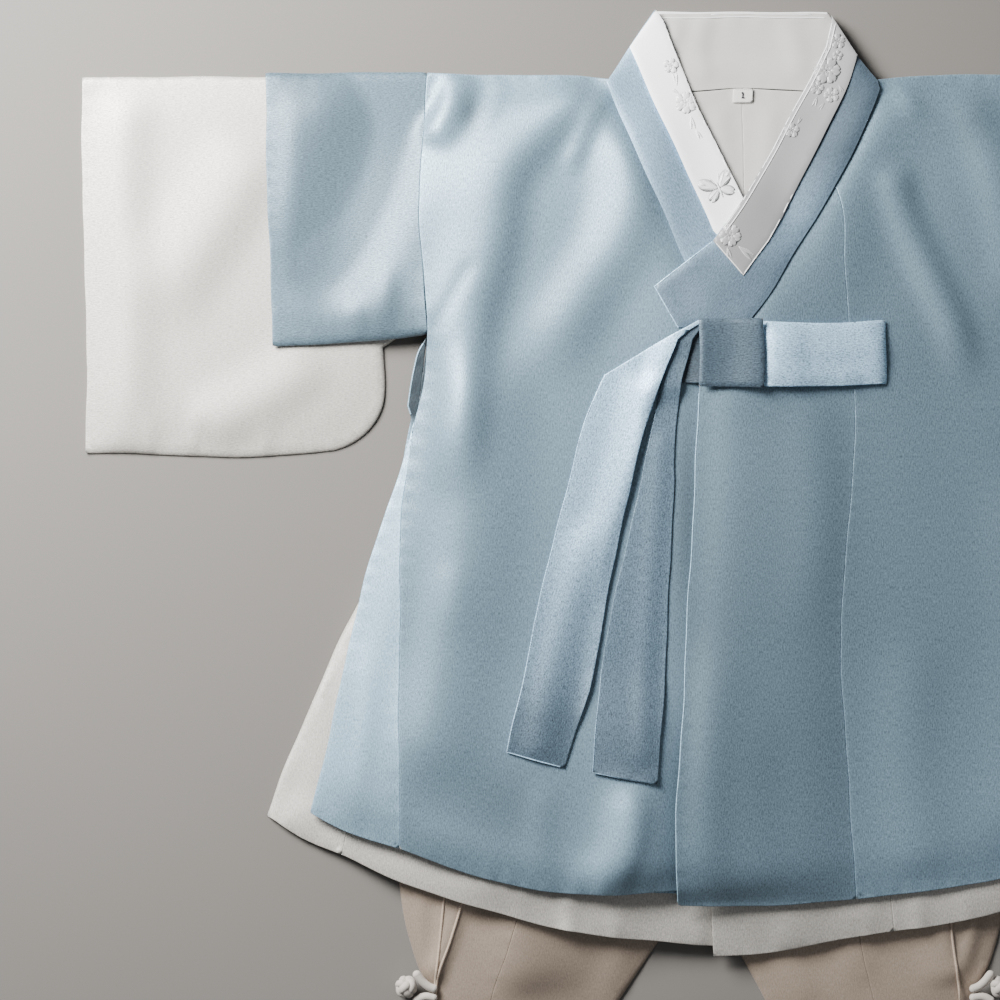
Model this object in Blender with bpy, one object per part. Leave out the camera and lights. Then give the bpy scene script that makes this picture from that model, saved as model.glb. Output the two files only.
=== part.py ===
"""A small child's Korean hanbok set, laid flat: baji trousers, an ivory robe and a pale-blue coat.

The three garments lie on one another, fronts up, on a flat surface at z = 0.  Every length here is
in millimetres; MM turns it into metres.  In the tables x runs across the garments from the centre
line, with the wearer's right at -x, and y runs up them from the shoulder line.  Each cut piece is
a wall of cloth that drapes over the pieces below it.
"""

import math
from typing import NamedTuple

import bmesh
import bpy
from mathutils import Matrix, Vector
from mathutils.geometry import intersect_line_line_2d

MM = 0.001

CLOTH = 1.0            # wall thickness of every piece
GAP = 0.3              # clearance between neighbouring pieces
PITCH = CLOTH + GAP    # height that one layer of cloth adds to the pile
CELL = 24.0            # spacing of the drape grid
SLIT_PAST = 2.0        # a tube's hollow runs this far past its open ends
SHOULDER_Y = 244.2     # shoulder line above the middle of the whole set
COLUMNS = range(-17, 18)
ROWS = range(-24, 5)

TROUSER_AXIS = -21.5   # the trousers lie a little to the wearer's right
WAIST_Y = -98.0
WAISTBAND_DROP = 30.0
ANKLE_Y = -528.0
CROTCH_Y = -442.8

BALL_RADIUS = 6.5
CORD_RADIUS = 2.5
KNOT_CLOTH = 2.4       # the tie's knot is folded double


class At(NamedTuple):
    """One corner of an edge: its distance out from the centre line and its height."""

    out: float
    y: float


class Fold(NamedTuple):
    """A raised fold from one point to another."""

    x0: float
    y0: float
    x1: float
    y1: float
    half_width: float
    height: float


class Edge(NamedTuple):
    """One side of a cut piece; a closed edge joins a tube's two walls."""

    points: list
    closed: bool = False


# The coat, from the neck outwards.  Both sides share these edges.
COAT_SHOULDER = [At(62, -1), At(91, 2.2), At(133, 3.5), At(173.8, 4.4)]
COAT_ARMHOLE = [At(173.8, 4.4), At(176.5, -33), At(177.9, -74), At(176.5, -98.5), At(173.8, -139.7)]
COAT_SIDE_TOP = [At(173.8, -139.7), At(174.9, -165), At(180.5, -187)]
COAT_SIDE = [At(180.5, -187), At(191.4, -223), At(209.6, -280.5), At(218.9, -322), At(227.2, -360),
             At(238.2, -402.6)]
COAT_GORE_SEAM = [At(180.5, -187), At(187, -231), At(188.5, -290), At(188.7, -422)]
COAT_SLEEVE_TOP = [At(173.8, 4.4), At(262.9, 4.4)]
COAT_CUFF = [At(262.9, 4.4), At(261, -82), At(258.5, -146.3)]
COAT_SLEEVE_BOTTOM = [At(258.5, -146.3), At(216, -143.5), At(173.8, -140.2)]
COAT_BACK_NECK = [At(0, 3), At(62, 3), At(62, -1)]
COAT_BACK_CENTRE = [At(0, -447), At(0, 3)]
BACK_GORE_SIDE = [At(174, -141.2), At(177.9, -148.5), At(180.1, -159.5), At(184.2, -178.8),
                  At(182.4, -186), At(190.4, -223), At(208.6, -280.5), At(217.9, -322), At(226.2, -360),
                  At(237.2, -401)]
BACK_GORE_HEM = [At(237.2, -401), At(217.9, -411), At(187.7, -420.5)]
BACK_GORE_SEAM = [At(174, -141.2), At(180, -187), At(186, -231), At(187.7, -290), At(187.7, -420.5)]

# The coat's hems and front edges, which differ from side to side; here out is away from the
# centre line towards the panel's own side.
COAT_GORE_HEM = [At(238.2, -402.6), At(218.9, -412.5), At(188.7, -422)]
COAT_HEM_RIGHT = [At(188.7, -422), At(161.2, -432.3), At(133.7, -440), At(106.2, -445), At(78.7, -447.2),
                  At(36.9, -445), At(-28, -441)]
COAT_EDGE_RIGHT = [At(-28, -441), At(-24, -200), At(-6, -144)]
COAT_NECK_RIGHT = [At(-6, -144), At(20, -98), At(32, -73), At(42, -52), At(55, -22), At(62, -1)]
COAT_HEM_LEFT = [At(188.7, -422), At(141.4, -438.9), At(97.4, -445.5), At(61.6, -449.9)]
COAT_NECK_LEFT = [At(44, -47), At(53, -32), At(62, -8), At(62, -1)]
OVERLAP_SEAM = [At(44, -47), At(50.6, -61), At(55, -106), At(60, -171), At(60, -208.5), At(53.9, -275),
                At(52.8, -313.5), At(57.8, -396), At(61.6, -449.9)]
OVERLAP_HEM = [At(61.6, -449.9), At(31.4, -452.7), At(-1.7, -453.2), At(-36.3, -452.7)]
OVERLAP_EDGE = [At(-36.3, -452.7), At(-38, -420), At(-34.7, -363), At(-29.2, -263.5), At(-25.3, -190.3),
                At(-23.5, -138)]
OVERLAP_NECK = [At(-23.5, -138), At(-8, -128), At(4, -112), At(18, -91), At(44, -47)]
COAT_BACK_HEM = [At(187.7, -420.5), At(161.2, -431), At(133.7, -438.6), At(106.2, -443.6),
                 At(78.7, -445.8), At(0, -447)]

# The neck: collar bands, the white strips on them, and what shows inside.
COLLAR_RIGHT = [At(74.8, -2), At(64.9, -27.5), At(52.3, -57.2), At(42.9, -77), At(32.5, -100.1),
                At(18, -128), At(-14, -96), At(0.3, -64.4), At(14.4, -34.9), At(28.2, -4.4), At(43, 32.5),
                At(48.4, 39.6), At(62.4, 18.4)]
STRIP_RIGHT = [At(62.3, 18.2), At(48.1, -14.9), At(33.4, -47.5), At(17.1, -83.3), At(9, -92),
               At(-6, -80), At(1.3, -64.4), At(15.4, -34.9), At(29.2, -4.4), At(44, 32.5), At(48.2, 38.8)]
COLLAR_LEFT = [At(73.4, -0.2), At(74.6, -4.8), At(70.8, -15.7), At(61.3, -37), At(50.6, -57.2),
               At(26.4, -96.8), At(11.8, -121), At(0, -136), At(-36.3, -137), At(-49, -114.7),
               At(-17.6, -89.6), At(-2.3, -66.6), At(15.1, -36), At(31.9, -6.5), At(44.5, 18.7),
               At(48.2, 36), At(62.4, 14.6)]
STRIP_LEFT = [At(62.7, 14.3), At(57.1, -2.2), At(37.1, -44.4), At(22.4, -71.7), At(12.9, -89.7),
              At(-0.8, -108.6), At(-17.1, -89.1), At(-1.3, -66.6), At(16.1, -36), At(32.9, -6.5),
              At(45.5, 18.7), At(49.2, 34.7), At(48.6, 36.4)]
NECK_SEAM = [At(62, -8), At(30.8, -6.2), At(0, -4.4), At(-30.8, -6.2), At(-62, -8)]
COLLAR_BACK_TOP = [At(-73, -0.5), At(-61.6, 16.4), At(-47.6, 37.4), At(47.6, 37.4), At(61.6, 15), At(72.6, -1)]
STRIP_BACK = [At(-58.5, 22), At(-47.2, 39.4), At(0, 38.6), At(47, 39), At(59, 19), At(30, 14), At(-30, 14)]
LINING = [At(0.15, -4.7), At(30.8, -6.5), At(62, -8.3), At(40, -70), At(12, -128), At(0.15, -128)]
LABEL_SIZE = (10.5, 6.9)
LABEL_TOP_Y = -5.2

# The coat's tie.
TIE_BAND = [At(-40, -147), At(20, -147), At(20, -167), At(-40, -167)]
TAIL_FRONT = [At(-18, -136), At(-32, -136.4), At(-56.7, -151.3), At(-72, -162.3), At(-80.3, -178.8),
              At(-89.7, -214.5), At(-114.4, -319), At(-129.8, -368.5), At(-98.5, -377.3),
              At(-84.2, -335.5), At(-59.4, -231), At(-48.4, -192.5), At(-34.7, -147), At(-18, -141)]
TAIL_BACK = [At(-18, -138), At(-40, -150), At(-52, -200), At(-66, -262), At(-77.6, -319), At(-83, -380),
             At(-47.9, -385.6), At(-42.9, -313.5), At(-38.5, -221.7), At(-33.6, -165), At(-27.5, -146),
             At(-18, -143)]
LOOP_TOP = [At(12.6, -133.2), At(42, -135), At(79.2, -132.8)]
LOOP_END = [At(79.2, -132.8), At(79.2, -167.5)]
LOOP_BOTTOM = [At(79.2, -167.5), At(42, -169), At(12.6, -168.6)]
KNOT = [At(-25.3, -132), At(12.1, -132), At(12.1, -169.4), At(-25.3, -169)]

# The robe.
ROBE_SHOULDER = [At(60, -3), At(91, -0.5), At(170, 2.2)]
ROBE_ARMHOLE = [At(170, 2.2), At(170, -137.5)]
ROBE_SIDE_TOP = [At(170, -137.5), At(167, -162), At(172, -187)]
ROBE_SIDE = [At(172, -187), At(184, -223), At(205, -275), At(221.7, -308), At(238.2, -346.5),
             At(251.9, -376.8), At(261.8, -405.9)]
ROBE_GORE_SEAM = [At(172, -187), At(196, -300), At(220.6, -426.3)]
ROBE_GORE_HEM = [At(261.8, -405.9), At(243.7, -416.9), At(220.6, -426.3)]
ROBE_HEM_RIGHT = [At(220.6, -426.3), At(188.7, -441.1), At(161.2, -450.5), At(133.7, -457.6),
                  At(106.2, -464.8), At(78.7, -470.3), At(51.2, -473.6), At(16.5, -476.3), At(-30, -477)]
ROBE_EDGE_RIGHT = [At(-30, -477), At(-26, -200), At(-8, -146)]
ROBE_NECK_RIGHT = [At(-8, -146), At(18, -100), At(30, -75), At(53, -24), At(60, -3)]
ROBE_HEM_LEFT = [At(220.6, -426.3), At(188.7, -441.1), At(161.2, -450.5), At(141.4, -457.6), At(82.5, -468)]
ROBE_NECK_LEFT = [At(44, -52), At(60, -10), At(60, -3)]
ROBE_OVERLAP_SEAM = [At(44, -52), At(64, -250), At(82.5, -468)]
ROBE_OVERLAP_HEM = [At(82.5, -468), At(58.9, -471.9), At(31.4, -477.4), At(1.1, -481.3), At(-15.4, -481.8)]
ROBE_OVERLAP_EDGE = [At(-15.4, -481.8), At(-17.3, -455), At(-14, -170), At(-14, -140)]
ROBE_OVERLAP_NECK = [At(-14, -140), At(4, -112), At(44, -52)]
ROBE_BACK_NECK = [At(0, -3), At(60, -3)]
ROBE_BACK_HEM = [At(220.6, -425), At(188.7, -439.8), At(133.7, -456.3), At(78.7, -469), At(0, -475)]
ROBE_BACK_CENTRE = [At(0, -475), At(0, -3)]
ROBE_SLEEVE_TOP = [At(170, 2.2), At(364.5, 2.75)]
ROBE_CUFF = [At(364.5, 2.75), At(364, -82), At(362.5, -115), At(362.5, -204.6)]
ROBE_CORNER = At(197.5, -204)      # where the sleeve's lower and inner edges would meet
ROBE_CORNER_RADIUS = 36.0
ROBE_UNDERARM = [At(198.5, -146), At(188, -138.5), At(170, -137.5)]
ROBE_COLLAR_RIGHT = [At(66, -6), At(44, -58), At(24, -101), At(10, -128), At(-14, -104), At(8, -60),
                     At(26, -16), At(38, 14), At(54, 14)]
ROBE_COLLAR_LEFT = [At(66, -6), At(44, -58), At(20, -101), At(4, -122), At(-28, -124), At(-38, -108),
                    At(-14, -92), At(6, -60), At(26, -16), At(38, 14), At(54, 14)]
ROBE_COLLAR_BACK = [At(-58, -6), At(-48, 12), At(-40, 26), At(40, 26), At(48, 12), At(58, -6), At(0, -3)]

# The trousers, out from their own centre line.
LEG_OUTER = [At(125, WAIST_Y), At(158, -200), At(167.2, -300), At(167.2, -442.8), At(162.5, -471),
             At(156.7, -490.6), At(150.5, -503), At(143, ANKLE_Y)]
LEG_SEAM = {
    "right": [At(73, WAIST_Y), At(96, -380), At(102.8, -463), At(107.8, -478.5), At(114.9, -498),
              At(121, ANKLE_Y)],
    "left": [At(73, WAIST_Y), At(80, -380), At(84, -463), At(88.1, -481), At(94, -506), At(100, ANKLE_Y)],
}
LEG_INNER = {
    "right": [At(0.15, WAIST_Y), At(0.15, CROTCH_Y), At(24.2, -474.7), At(46.2, -506), At(60, ANKLE_Y)],
    "left": [At(0.15, WAIST_Y), At(0.15, CROTCH_Y), At(21.5, -481.3), At(34.7, -506), At(46, ANKLE_Y)],
}
BALL = At(163.9, -499.4)
KNOT_LOOP = [At(158.7, -491), At(153, -495.5), At(148.4, -500.6), At(153, -506), At(158.7, -508.5)]
CORD_Z = 5.7

# Raised folds, a row each.
ROBE_SLEEVE_FOLDS = [Fold(300, -10, 330, -110, 34, 2.6), Fold(215, -150, 300, -190, 30, 2.0)]
COAT_SLEEVE_FOLDS = [Fold(252, -120, 190, -20, 30, 2.8)]
COAT_FRONT_FOLDS = [
    Fold(134, 0, 156, -27, 30, 3.2),
    Fold(156, -27, 172, -80, 32, 3.0),
    Fold(91, 0, 134, -38, 26, 2.6),
    Fold(84, -50, 100, -126, 34, 4.2),
    Fold(100, -126, 158, -190, 34, 3.4),
    Fold(172, -230, 176, -390, 30, 2.4),
    Fold(84, -350, 92, -430, 34, 2.6),
]
TROUSER_FOLDS = [Fold(126, -440, 134, -470, 24, 2.4)]


class Finish(NamedTuple):
    """Colour and roughness of one cloth."""

    colour: tuple
    roughness: float


FINISHES = {
    "coat_satin": Finish((0.40, 0.52, 0.62, 1), 0.45),
    "robe_satin": Finish((0.72, 0.70, 0.65, 1), 0.5),
    "trousers_satin": Finish((0.55, 0.47, 0.40, 1), 0.5),
    "collar_brocade": Finish((0.80, 0.80, 0.81, 1), 0.4),
    "lining": Finish((0.66, 0.64, 0.60, 1), 0.6),
    "label_tape": Finish((0.80, 0.79, 0.76, 1), 0.6),
    "knot_cord": Finish((0.75, 0.72, 0.68, 1), 0.5),
}


def distance_to_segment(point, start, end):
    """Distance in the plan from a point to the segment between two others."""
    run = end - start
    along = (point - start).dot(run) / max(run.length_squared, 1e-9)
    return (point - start - run * min(1.0, max(0.0, along))).length


def sides_of(ring):
    """The sides of a closed ring of plan points, as pairs."""
    return list(zip(ring, ring[1:] + ring[:1]))


def inside(point, ring):
    """Whether a point in the plan lies inside a closed ring of points."""
    result = False
    for start, end in sides_of(ring):
        if (start.y > point.y) != (end.y > point.y):
            crossing = start.x + (point.y - start.y) / (end.y - start.y) * (end.x - start.x)
            result ^= point.x < crossing
    return result


def meet(triangle, ring):
    """Whether a grid triangle and a piece share any of the plan."""
    if inside(ring[0], triangle) or any(inside(corner, ring) for corner in triangle):
        return True
    return any(
        intersect_line_line_2d(*side, *ring_side)
        for ring_side in sides_of(ring) for side in sides_of(triangle)
    )


def covered(rings):
    """The grid crossings that carry some part of the rings: the corners of each triangle they meet."""
    found = set()
    for ring in rings:
        columns = [point.x / CELL for point in ring]
        rows = [point.y / CELL for point in ring]
        for column in range(math.floor(min(columns)), math.floor(max(columns)) + 1):
            for row in range(math.floor(min(rows)), math.floor(max(rows)) + 1):
                for side in ((column + 1, row), (column, row + 1)):
                    corners = ((column, row), side, (column + 1, row + 1))
                    if meet([Vector(corner) * CELL for corner in corners], ring):
                        found.update(corners)
    return found


def fold_height(point, folds):
    """How far the folds lift the cloth at a point: a cosine bump across each one."""
    lift = 0.0
    for fold in folds:
        away = distance_to_segment(point, Vector((fold.x0, fold.y0)), Vector((fold.x1, fold.y1)))
        if away < fold.half_width:
            lift = max(lift, fold.height * 0.5 * (1 + math.cos(math.pi * away / fold.half_width)))
    return lift


class Layer:
    """The underside of one draped layer: a height at each crossing, flat on each grid triangle."""

    def __init__(self, heights):
        self.heights = heights

    def low(self, x, y):
        """Height of the underside, from the three corners of the grid triangle round a point."""
        column, row = math.floor(x / CELL), math.floor(y / CELL)
        right, up = x / CELL - column, y / CELL - row
        near_corner, far_corner = self.heights[column, row], self.heights[column + 1, row + 1]
        if right >= up:
            side = self.heights[column + 1, row]
            return near_corner + right * (side - near_corner) + up * (far_corner - side)
        side = self.heights[column, row + 1]
        return near_corner + up * (side - near_corner) + right * (far_corner - side)

    def high(self, x, y):
        """Height of the upper face."""
        return self.low(x, y) + CLOTH


class Pile:
    """The pile of cloth so far: the lowest height at which the next layer can lie."""

    def __init__(self):
        self.tops = {(column, row): 0.0 for column in COLUMNS for row in ROWS}

    def lay(self, rings, folds=(), cloth=CLOTH):
        """Drape one layer of side-by-side pieces on the pile, and add it to the pile."""
        heights = {
            crossing: top + fold_height(Vector(crossing) * CELL, folds)
            for crossing, top in self.tops.items()
        }
        for crossing in covered(rings):
            self.tops[crossing] = heights[crossing] + cloth + GAP
        return Layer(heights)


def ring_of(edges):
    """The closed ring of plan points round a list of edges, each starting where the last ends."""
    ring = []
    for edge in edges:
        ring.extend(edge.points[:-1])
    return ring


def signed_area(ring):
    """Twice the ring's area, positive where it runs anticlockwise."""
    return sum(a.x * b.y - b.x * a.y for a, b in sides_of(ring))


def slit_of(edges):
    """The plan of a tube's hollow: inside its closed edges and past its open ones."""
    ring = ring_of(edges)
    turn = math.copysign(1.0, signed_area(ring))
    lines = []
    for edge in edges:
        inwards = CLOTH if edge.closed else -SLIT_PAST
        for start, end in zip(edge.points, edge.points[1:]):
            run = (end - start).normalized()
            lines.append((start + Vector((-run.y, run.x)) * turn * inwards, run))
    slit = []
    for (base, run), (next_base, next_run) in zip(lines[-1:] + lines[:-1], lines):
        cross = run.x * next_run.y - run.y * next_run.x
        if abs(cross) < 0.02:
            slit.append(next_base)
        else:
            to_next = next_base - base
            slit.append(base + run * ((to_next.x * next_run.y - to_next.y * next_run.x) / cross))
    return slit


def cut_on_grid(mesh, ring):
    """Cut a flat face along the grid's lines and diagonals, so that each part can tilt alone."""
    first = Vector((min(p.x for p in ring), min(p.y for p in ring)))
    last = Vector((max(p.x for p in ring), max(p.y for p in ring)))
    families = [
        (Vector((1, 0, 0)), first.x, last.x),
        (Vector((0, 1, 0)), first.y, last.y),
        (Vector((1, -1, 0)), first.x - last.y, last.x - first.y),
    ]
    for normal, start, end in families:
        for number in range(math.ceil(start / CELL), math.floor(end / CELL) + 1):
            bmesh.ops.bisect_plane(
                mesh, geom=mesh.verts[:] + mesh.edges[:] + mesh.faces[:], dist=1e-3,
                plane_co=normal * (number * CELL / normal.length_squared), plane_no=normal,
            )


def new_object(name, mesh, collection, slot):
    """Turn a bmesh in millimetres into an object, set on the shoulder line."""
    mesh.transform(Matrix.Translation((0, SHOULDER_Y * MM, 0)) @ Matrix.Diagonal((MM, MM, MM, 1)))
    data = bpy.data.meshes.new(name)
    mesh.to_mesh(data)
    mesh.free()
    made = bpy.data.objects.new(name, data)
    made.data.materials.append(material(slot))
    collection.objects.link(made)
    return made


def wall(name, ring, low, high, collection, slot):
    """A wall of cloth with a given outline, between two height functions of the plan."""
    mesh = bmesh.new()
    mesh.faces.new([mesh.verts.new((point.x, point.y, 0)) for point in ring])
    cut_on_grid(mesh, ring)
    raised = bmesh.ops.extrude_face_region(mesh, geom=mesh.faces[:])
    upper = {item for item in raised["geom"] if isinstance(item, bmesh.types.BMVert)}
    for vertex in mesh.verts:
        vertex.co.z = (high if vertex in upper else low)(vertex.co.x, vertex.co.y)
    bmesh.ops.recalc_face_normals(mesh, faces=mesh.faces)
    bmesh.ops.dissolve_limit(
        mesh, angle_limit=math.radians(0.01), verts=mesh.verts[:], edges=mesh.edges[:]
    )
    return new_object(name, mesh, collection, slot)


def material(slot):
    """The slot's Principled material, made once."""
    found = bpy.data.materials.get(slot)
    if found:
        return found
    finish = FINISHES[slot]
    made = bpy.data.materials.new(slot)
    made.use_nodes = True
    shader = made.node_tree.nodes["Principled BSDF"]
    shader.inputs["Base Color"].default_value = finish.colour
    shader.inputs["Roughness"].default_value = finish.roughness
    shader.inputs["Metallic"].default_value = 0.0
    return made


class Table:
    """Lays cut pieces on the pile and makes their solids."""

    def __init__(self, collection, cutters):
        self.collection = collection
        self.cutters = cutters
        self.pile = Pile()

    def sheets(self, slot, pieces, folds=(), cloth=CLOTH):
        """Lay single walls side by side as one layer.  pieces maps each name to its ring."""
        layer = self.pile.lay(list(pieces.values()), folds, cloth)
        for name, ring in pieces.items():
            self.sheet(name, ring, layer, slot, cloth)
        return layer

    def sheet(self, name, ring, layer, slot, cloth=CLOTH):
        """One single wall that lies in a layer."""
        wall(name, ring, layer.low, lambda x, y: layer.low(x, y) + cloth, self.collection, slot)

    def tube(self, name, edges, lower, upper, slot):
        """A flattened tube: two walls joined along the closed edges, hollow between them."""
        made = wall(name, ring_of(edges), lower.low, upper.high, self.collection, slot)
        hollow = wall(name + "_hollow", slit_of(edges), lower.high, upper.low, self.cutters, slot)
        hollow.hide_render = True
        hollow.display_type = "WIRE"
        cut = made.modifiers.new("hollow", "BOOLEAN")
        cut.operation = "DIFFERENCE"
        cut.solver = "EXACT"
        cut.object = hollow


def plan(rows, side=1, shift=0.0):
    """Plan points of table rows on one side of the centre line, moved outwards by shift."""
    return [Vector((side * (row.out + shift), row.y)) for row in rows]


def mirrored(folds, side):
    """The same folds on one side of the garment."""
    return [fold._replace(x0=side * fold.x0, x1=side * fold.x1) for fold in folds]


def back_to_front(rows):
    """The same edge, run the other way."""
    return rows[::-1]


SIDES = {"right": -1, "left": 1}


def trouser_plan(rows, side, shift=0.0):
    """Plan points of trouser rows, out from the trousers' own centre line."""
    return [point + Vector((TROUSER_AXIS, 0)) for point in plan(rows, side, shift)]


def below_band(rows):
    """A leg's edge from just under the waistband down."""
    top = At(rows[0].out, WAIST_Y - WAISTBAND_DROP - GAP)
    return [top] + [row for row in rows if row.y < top.y]


def lay_trousers(table):
    """Baji: an outer and an inner panel to each leg, and a waistband."""
    half_seam = GAP / 2
    tubes = {}
    for name, side in SIDES.items():
        outer, seam, inner = below_band(LEG_OUTER), below_band(LEG_SEAM[name]), below_band(LEG_INNER[name])
        tubes[f"trousers_outer_{name}"] = [
            Edge(trouser_plan([seam[0], outer[0]], side, half_seam)),
            Edge(trouser_plan(outer, side, half_seam), closed=True),
            Edge(trouser_plan([outer[-1], seam[-1]], side, half_seam)),
            Edge(trouser_plan(back_to_front(seam), side, half_seam)),
        ]
        centre = [row for row in inner if row.y >= CROTCH_Y]
        inseam = inner[len(centre) - 1:]
        tubes[f"trousers_inner_{name}"] = [
            Edge(trouser_plan([inner[0], seam[0]], side, -half_seam)),
            Edge(trouser_plan(seam, side, -half_seam)),
            Edge(trouser_plan([seam[-1], inner[-1]], side, -half_seam)),
            Edge(trouser_plan(back_to_front(inseam), side, -half_seam), closed=True),
            Edge(trouser_plan(back_to_front(centre), side, -half_seam)),
        ]
    half_waist = LEG_OUTER[0].out
    band_bottom = WAIST_Y - WAISTBAND_DROP
    corners = [At(-half_waist, WAIST_Y), At(half_waist, WAIST_Y), At(half_waist, band_bottom),
               At(-half_waist, band_bottom)]
    top_left, top_right, bottom_right, bottom_left = trouser_plan(corners, 1)
    tubes["trousers_waistband"] = [
        Edge([top_left, top_right]),
        Edge([top_right, bottom_right], closed=True),
        Edge([bottom_right, bottom_left]),
        Edge([bottom_left, top_left], closed=True),
    ]
    rings = [ring_of(edges) for edges in tubes.values()]
    folds = []
    for side in SIDES.values():
        for fold in mirrored(TROUSER_FOLDS, side):
            folds.append(fold._replace(x0=fold.x0 + TROUSER_AXIS, x1=fold.x1 + TROUSER_AXIS))
    lower, upper = table.pile.lay(rings), table.pile.lay(rings, folds)
    for name, edges in tubes.items():
        table.tube(name, edges, lower, upper, "trousers_satin")


def round_corner(corner, radius, steps=6):
    """Rows of a quarter circle that rounds the robe sleeve's lower inner corner."""
    centre = At(corner.out + radius, corner.y + radius)
    turns = [math.radians(90) * step / steps for step in range(steps + 1)]
    return [At(centre.out - radius * math.sin(t), centre.y - radius * math.cos(t)) for t in turns]


def lay_robe(table):
    """The ivory robe: back, fronts with a left overlap, gores, wide sleeves and a plain collar."""
    half_seam = GAP / 2
    corner = round_corner(ROBE_CORNER, ROBE_CORNER_RADIUS)
    sleeves, gores, backs = {}, {}, {}
    for name, side in SIDES.items():
        sleeves[name] = [
            Edge(plan(ROBE_SLEEVE_TOP, side, half_seam), closed=True),
            Edge(plan(ROBE_CUFF, side, half_seam)),
            Edge(plan([ROBE_CUFF[-1]] + corner + ROBE_UNDERARM, side, half_seam), closed=True),
            Edge(plan(back_to_front(ROBE_ARMHOLE), side, half_seam)),
        ]
        gores[name] = [
            Edge(plan(ROBE_SIDE, side, half_seam), closed=True),
            Edge(plan(ROBE_GORE_HEM, side, half_seam)),
            Edge(plan(back_to_front(ROBE_GORE_SEAM), side, half_seam)),
        ]
        backs[name] = ring_of([
            Edge(plan(ROBE_BACK_NECK[:1], side, half_seam) + plan(ROBE_BACK_NECK[1:], side)),
            Edge(plan(ROBE_SHOULDER + ROBE_ARMHOLE[1:] + ROBE_SIDE_TOP[1:], side, -half_seam)),
            Edge(plan(ROBE_GORE_SEAM[:-1] + ROBE_BACK_HEM[:1], side, -half_seam)),
            Edge(plan(ROBE_BACK_HEM[:-1], side, -half_seam) + plan(ROBE_BACK_HEM[-1:], side, half_seam)),
            Edge(plan(ROBE_BACK_CENTRE, side, half_seam)),
        ])
    shared = [ring_of(edges) for edges in list(sleeves.values()) + list(gores.values())]
    lower = table.pile.lay(list(backs.values()) + shared)
    for name, ring in backs.items():
        table.sheet(f"robe_back_{name}", ring, lower, "robe_satin")
    table.sheets("robe_satin", {"robe_collar_back": plan(ROBE_COLLAR_BACK)})

    fronts = {
        "right": {"robe_front_right": front_ring(
            ROBE_NECK_RIGHT, ROBE_SHOULDER + ROBE_ARMHOLE[1:] + ROBE_SIDE_TOP[1:] + ROBE_GORE_SEAM[1:],
            ROBE_HEM_RIGHT, ROBE_EDGE_RIGHT, -1)},
        "left": {
            "robe_front_left": front_ring(
                ROBE_NECK_LEFT, ROBE_SHOULDER + ROBE_ARMHOLE[1:] + ROBE_SIDE_TOP[1:] + ROBE_GORE_SEAM[1:],
                ROBE_HEM_LEFT, back_to_front(ROBE_OVERLAP_SEAM), 1, inner_shift=half_seam),
            "robe_overlap_left": ring_of([
                Edge(plan(ROBE_OVERLAP_SEAM, 1, -half_seam)), Edge(plan(ROBE_OVERLAP_HEM, 1, -half_seam)),
                Edge(plan(ROBE_OVERLAP_EDGE, 1, -half_seam)), Edge(plan(ROBE_OVERLAP_NECK, 1, -half_seam)),
            ]),
        },
    }
    for name, side in SIDES.items():
        pair = [ring_of(sleeves[name]), ring_of(gores[name])]
        upper = table.pile.lay(list(fronts[name].values()) + pair, mirrored(ROBE_SLEEVE_FOLDS, side))
        for piece, ring in fronts[name].items():
            table.sheet(piece, ring, upper, "robe_satin")
        table.tube(f"robe_sleeve_{name}", sleeves[name], lower, upper, "robe_satin")
        table.tube(f"robe_gore_{name}", gores[name], lower, upper, "robe_satin")
    table.sheets("robe_satin", {"robe_collar_right": plan(ROBE_COLLAR_RIGHT, -1)})
    table.sheets("robe_satin", {"robe_collar_left": plan(ROBE_COLLAR_LEFT)})


def front_ring(neck, outer, hem, edge, side, inner_shift=0.0):
    """Ring of a front panel: its shoulder and side, hem, front edge or seam, and neckline."""
    half_seam = GAP / 2
    return ring_of([
        Edge(plan(outer[:1], side) + plan(outer[1:], side, -half_seam)),
        Edge(plan(hem[:-1], side, -half_seam) + plan(hem[-1:], side, inner_shift)),
        Edge(plan(edge, side, inner_shift)),
        Edge(plan(neck[:1], side, inner_shift) + plan(neck[1:], side)),
    ])


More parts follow.
